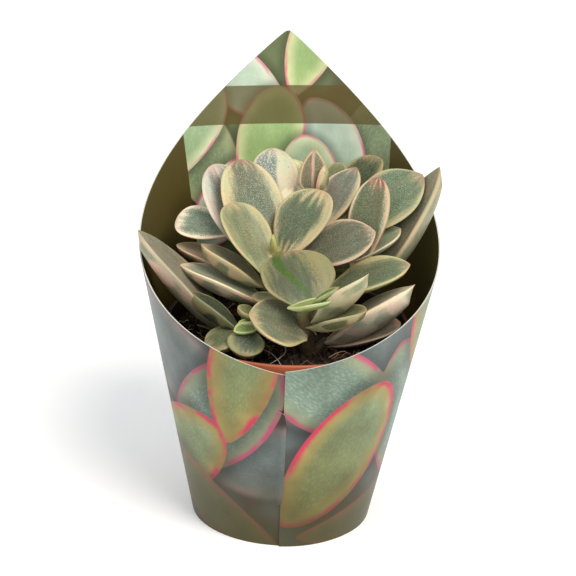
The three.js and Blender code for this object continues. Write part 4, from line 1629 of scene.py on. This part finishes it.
FRONT_SHOOT = Shoot(
    "front", (13, -12, 60), (6, -33, 107), (4.2, 2.6),
    (
        Blade("face", (9, -32, 108), -150, 42, -6, 28, 33, 6, -6, 2.5, 0.5, Look(
            "#4c5539", "#8f895e", 0.12, 0.56, 0.1, 0.05, 0.6, rim="#7f7758", frost=0.03, stripe="#3b5a00",
            stripe_slope=0.85, stripe_start=0.3, stripe_mm=2.3), Tip.ROUND, rings=110, sides=150),
        Blade("curled", (11, -28, 100), 74, 44, 8, 34, 22, 6, -12, 3, 0.5, Look(
            "#7a7f66", "#bdb496", 0.1, 0.1, under="#b8b091", patch="#8a8a6c", patches=-0.5,
            rim="#d3c8a8", rim_share=0.9), Tip.SHARP),
        Blade("cupped", (9, -30, 99), 66, 18, 14, 28, 20, 5, 0, 3, 0.5, Look(
            "#676945", "#9f9771", under="#afa47e", patches=-0.5, rim="#b7b18e", rim_share=0.9)),
        Blade("nearest", (8, -32, 96.5), -74, 22, 0, 27, 27, 6, -26, 2, 0.44, Look(
            "#6a6d54", "#bcab81", 0.14, 0.06, 0.05, 0.12, 0.3, rim="#c4b68c", rim_share=0.8), Tip.POINTED),
        Blade("low_right", (17, -19, 88), 86, 38, 0, 46, 27, 10, -8, 3, 0.45, Look(
            "#9b9580", "#dacbaf", 0.03, 0.04, under="#d3c2b0", patch="#a7a592", rim="#eedfc2",
            rim_share=0.9), Tip.SHARP),
        Blade("lowest", (17, -17, 86), 92, 18, 0, 33, 21, 5, 10, 2, 0.5, Look(
            "#746859", "#9a8a79", rim="#b19e89")),
        Blade("shelf", (16, -11, 107), 90, 24, -4, 38, 21, 6, 18, 2, 0.55, Look(
            "#60694c", "#c1b588", 0.26, 0.1, 0.05, 0.05, 0.35, rim="#d0c09a"), Tip.POINTED),
        Blade("under", (2, -16, 102), -95, 12, 0, 18, 14, 4, 0, 1, 0.5, Look("#aaa481", "#f3e5b0")),
    ),
    (
        Blade("pair_far", (6, -37, 109), 82, 38, 0, 19, 7, 3, 0, 1, 0.5, Look(
            "#5f6e34", "#8f9a67", 0.2, 0.2, rim="#97a274", rim_share=1.0), Tip.POINTED),
        Blade("pair_near", (0, -38, 110), 84, 12, 6, 19, 8, 3, 0, 1, 0.5, Look(
            "#81914f", "#b0be80", 0.2, 0.2, rim="#c4cda3", rim_share=1.0), Tip.POINTED),
    ),
)

LEFT_SHOOT = Shoot(
    "left", (-20, -20, 60), (-18, -30, 98), (3.6, 2.2),
    (
        Blade("long", (-24, -16, 88), -101, 46, 0, 60, 29, 9, 8, 3, 0.45, Look(
            "#847b69", "#b0a18a", 0.03, 0.04, 0.02, 0.02, under="#c6a594", patch="#8a8c70",
            rim="#cdbda2", rim_share=0.9, blush="#8f876f"), Tip.POINTED),
        Blade("narrow", (-19, -27, 94), -98, 36, 0, 29, 16, 6, 8, 2, 0.45, Look(
            "#3a402b", "#80825a", 0.06, 0.06, under="#88825e", patch="#3c442c", rim="#88876a"), Tip.SHARP),
        Blade("lobe_left", (-18, -30, 96), -68, -20, 0, 18, 16, 7, -10, 1.5, 0.55, Look(
            "#636a4a", "#a59f73", 0.4, 0.24, 0.1, 0.12, 0.5, rim="#9e9776", comb=0.1)),
        Blade("lobe_right", (-17, -30, 97), 0, -25, 0, 16, 16, 7, -6, 1, 0.55, Look(
            "#565e49", "#959266", 0.24, 0.44, 0.1, 0.1, 0.5, rim="#93906a", comb=0.1)),
        Blade("olive", (-9, -22, 97), -80, 28, 0, 14, 14, 4, 0, 1, 0.5, Look("#7c8654", "#b9b986")),
    ),
    (
        Blade("pair_near", (-12, -31, 98), -58, 6, -10, 12, 7, 3, -20, 1, 0.5, Look(
            "#7f9150", "#b9c283", 0.2, 0.2, rim="#c8cf96", rim_share=1.0), Tip.POINTED),
        Blade("pair_far", (-10, -27, 98), -64, 14, -10, 12, 7, 3, 10, 1, 0.5, Look(
            "#7f9150", "#b9c283", 0.2, 0.2, rim="#c8cf96", rim_share=1.0), Tip.POINTED),
    ),
)


@dataclass
class Plant:
    """The jade plant: five shoots, each a stem with short stalks, opposite leaves and young leaves."""

    shoots: tuple[Shoot, ...] = (MAIN_SHOOT, BACK_SHOOT, RIGHT_SHOOT, FRONT_SHOOT, LEFT_SHOOT)
    stalk_radius: float = 1.9
    stalk_flare: float = 0.25  # how much wider a stalk is at both ends
    stalk_drop: float = 2.0
    stalk_sides: int = 14
    stem_sides: int = 20
    node_spacing: float = 11.0
    scar: float = 0.35  # how far a leaf scar stands out
    scar_reach: float = 1.1
    voxel: float = 0.6
    softening: tuple[float, int] = (0.6, 6)  # factor and rounds

    def build(self) -> None:
        """Makes every shoot's stem and leaves."""
        leaf_skin = LeafSkin().build()
        bark = StemSkin().build()
        for shoot in self.shoots:
            add_piece(self.stem(shoot), [bark], "stem", f"stem_{shoot.name}")
            for blade in shoot.blades:
                name = f"{shoot.name}_{blade.name}"
                add_piece(blade.mesh(f"blade_{name}"), [leaf_skin], "leaf", f"leaf_{name}")
            for blade in shoot.young:
                mesh = blade.mesh(f"young_{shoot.name}_{blade.name}")
                add_piece(mesh, [leaf_skin], "leaf", f"stem_{shoot.name}")

    def stem(self, shoot: Shoot) -> bpy.types.Mesh:
        """Makes a stem and its stalks, melted into one skin.

        The stem tapers evenly and swells a little at each leaf scar, by a narrow bell curve. Each stalk
        starts at the stem's nearest point to a place under its leaf's foot.

        Args:
            shoot: the stem's shoot.

        Returns:
            The stem's mesh.
        """
        root, tip = np.array(shoot.root, float), np.array(shoot.tip, float)
        way = tip - root
        s = np.linspace(0, 1, 60)
        path = root + way * s[:, None]
        far = s * np.linalg.norm(way)
        from_scar = (far + 0.5 * self.node_spacing) % self.node_spacing - 0.5 * self.node_spacing
        taper = shoot.radii[0] + (shoot.radii[1] - shoot.radii[0]) * s
        radii = taper + self.scar * np.exp(-(from_scar / self.scar_reach) ** 2)
        parts = [tube(path, radii, self.stem_sides)]
        for blade in shoot.blades:
            foot = np.array(blade.foot, float)
            low = foot - [0, 0, self.stalk_drop]
            start = root + np.clip((low - root) @ way / (way @ way), 0, 1) * way
            steps = np.linspace(0, 1, 9)
            stalk = start + (foot - start) * steps[:, None]
            radii = self.stalk_radius * (1 + self.stalk_flare * (2 * steps - 1) ** 2)
            parts.append(tube(stalk, radii, self.stalk_sides))
        blank = new_object("stem_blank", make_mesh("stem_blank", *joined(parts)))
        melt = blank.modifiers.new("melt", "REMESH")
        melt.mode, melt.voxel_size, melt.use_smooth_shade = "VOXEL", self.voxel * MM, True
        soften = blank.modifiers.new("soften", "SMOOTH")
        soften.factor, soften.iterations = self.softening
        mesh = evaluated_mesh(blank, f"stem_skin_{shoot.name}")
        bpy.data.objects.remove(blank)
        mesh.shade_smooth()
        return mesh


# The studio

@dataclass
class Studio:
    """A plain pale floor, soft light from the front right and above, and the photograph's camera."""

    floor_size: float = 6.0
    sky: float = 0.68
    camera_distance: float = 900.0
    camera_rise: float = 21.048
    camera_roll: float = 2.191
    camera_aim: tuple[float, float, float] = (-0.269, 0.0, 104.197)
    lens: float = 130.13
    sensor: float = 36.0

    def build(self) -> None:
        """Makes the floor, the sky, the lamps and the camera."""
        scene = bpy.context.scene
        scene.view_settings.view_transform = "Standard"
        half = 0.5 * self.floor_size / MM
        corners = np.array([(-half, -half, 0), (half, -half, 0), (half, half, 0), (-half, half, 0)])
        mesh = make_mesh("studio_floor", corners, [np.array([[0, 1, 2, 3]])])
        mesh.materials.append(StudioFloor().build())
        floor = new_object("studio_floor", mesh)
        scene.world = bpy.data.worlds.new("pale_sky")
        scene.world.use_nodes = True
        sky = scene.world.node_tree.nodes["Background"]
        sky.inputs["Color"].default_value = linear("#fbfcff")
        sky.inputs["Strength"].default_value = self.sky
        self.sun("key_sun", azimuth=38, rise=52, spread=32, strength=2.2, tint="#fffaf2")
        self.sun("fill_sun", azimuth=-50, rise=40, spread=60, strength=0.35, tint="#f2f6ff")
        self.camera()

    def sun(self, name: str, azimuth: float, rise: float, spread: float, strength: float, tint: str) -> None:
        """Adds a wide, soft sun.

        Args:
            name: the lamp's name.
            azimuth: where it stands, in degrees from the front towards +X.
            rise: degrees above the floor.
            spread: its width in degrees.
            strength: watts on a square metre that faces it.
            tint: its colour.
        """
        light = bpy.data.lights.new(name, "SUN")
        light.angle, light.energy = math.radians(spread), strength
        light.color = linear(tint)[:3]
        turn, height = math.radians(azimuth), math.radians(rise)
        flat = math.cos(height)
        away = Vector((flat * math.sin(turn), -flat * math.cos(turn), math.sin(height)))
        new_object(name, light).matrix_world = away.to_track_quat("Z", "Y").to_matrix().to_4x4()

    def camera(self) -> None:
        """Adds the camera, looking along +Y and down by its rise, and rolled about its view."""
        rise, roll = math.radians(self.camera_rise), math.radians(self.camera_roll)
        back = Vector((0, -math.cos(rise), math.sin(rise)))
        right, up = Vector((1, 0, 0)), Vector((0, math.sin(rise), math.cos(rise)))
        place = (Vector(self.camera_aim) + self.camera_distance * back) * MM
        axis_x = math.cos(roll) * right + math.sin(roll) * up
        axis_y = -math.sin(roll) * right + math.cos(roll) * up
        data = bpy.data.cameras.new("photo_camera")
        data.lens, data.sensor_width, data.sensor_fit = self.lens, self.sensor, "HORIZONTAL"
        camera = new_object("photo_camera", data)
        turned = Matrix((axis_x, axis_y, back)).transposed().to_4x4()
        camera.matrix_world = Matrix.Translation(place) @ turned
        bpy.context.scene.camera = camera


def main() -> None:
    """Builds the studio and every piece, in order."""
    Studio().build()
    for part in (CardSleeve(), NurseryPot(), Soil(), Plant()):
        log.info("building %s", type(part).__name__)
        part.build()


if __name__ == "__main__":
    main()
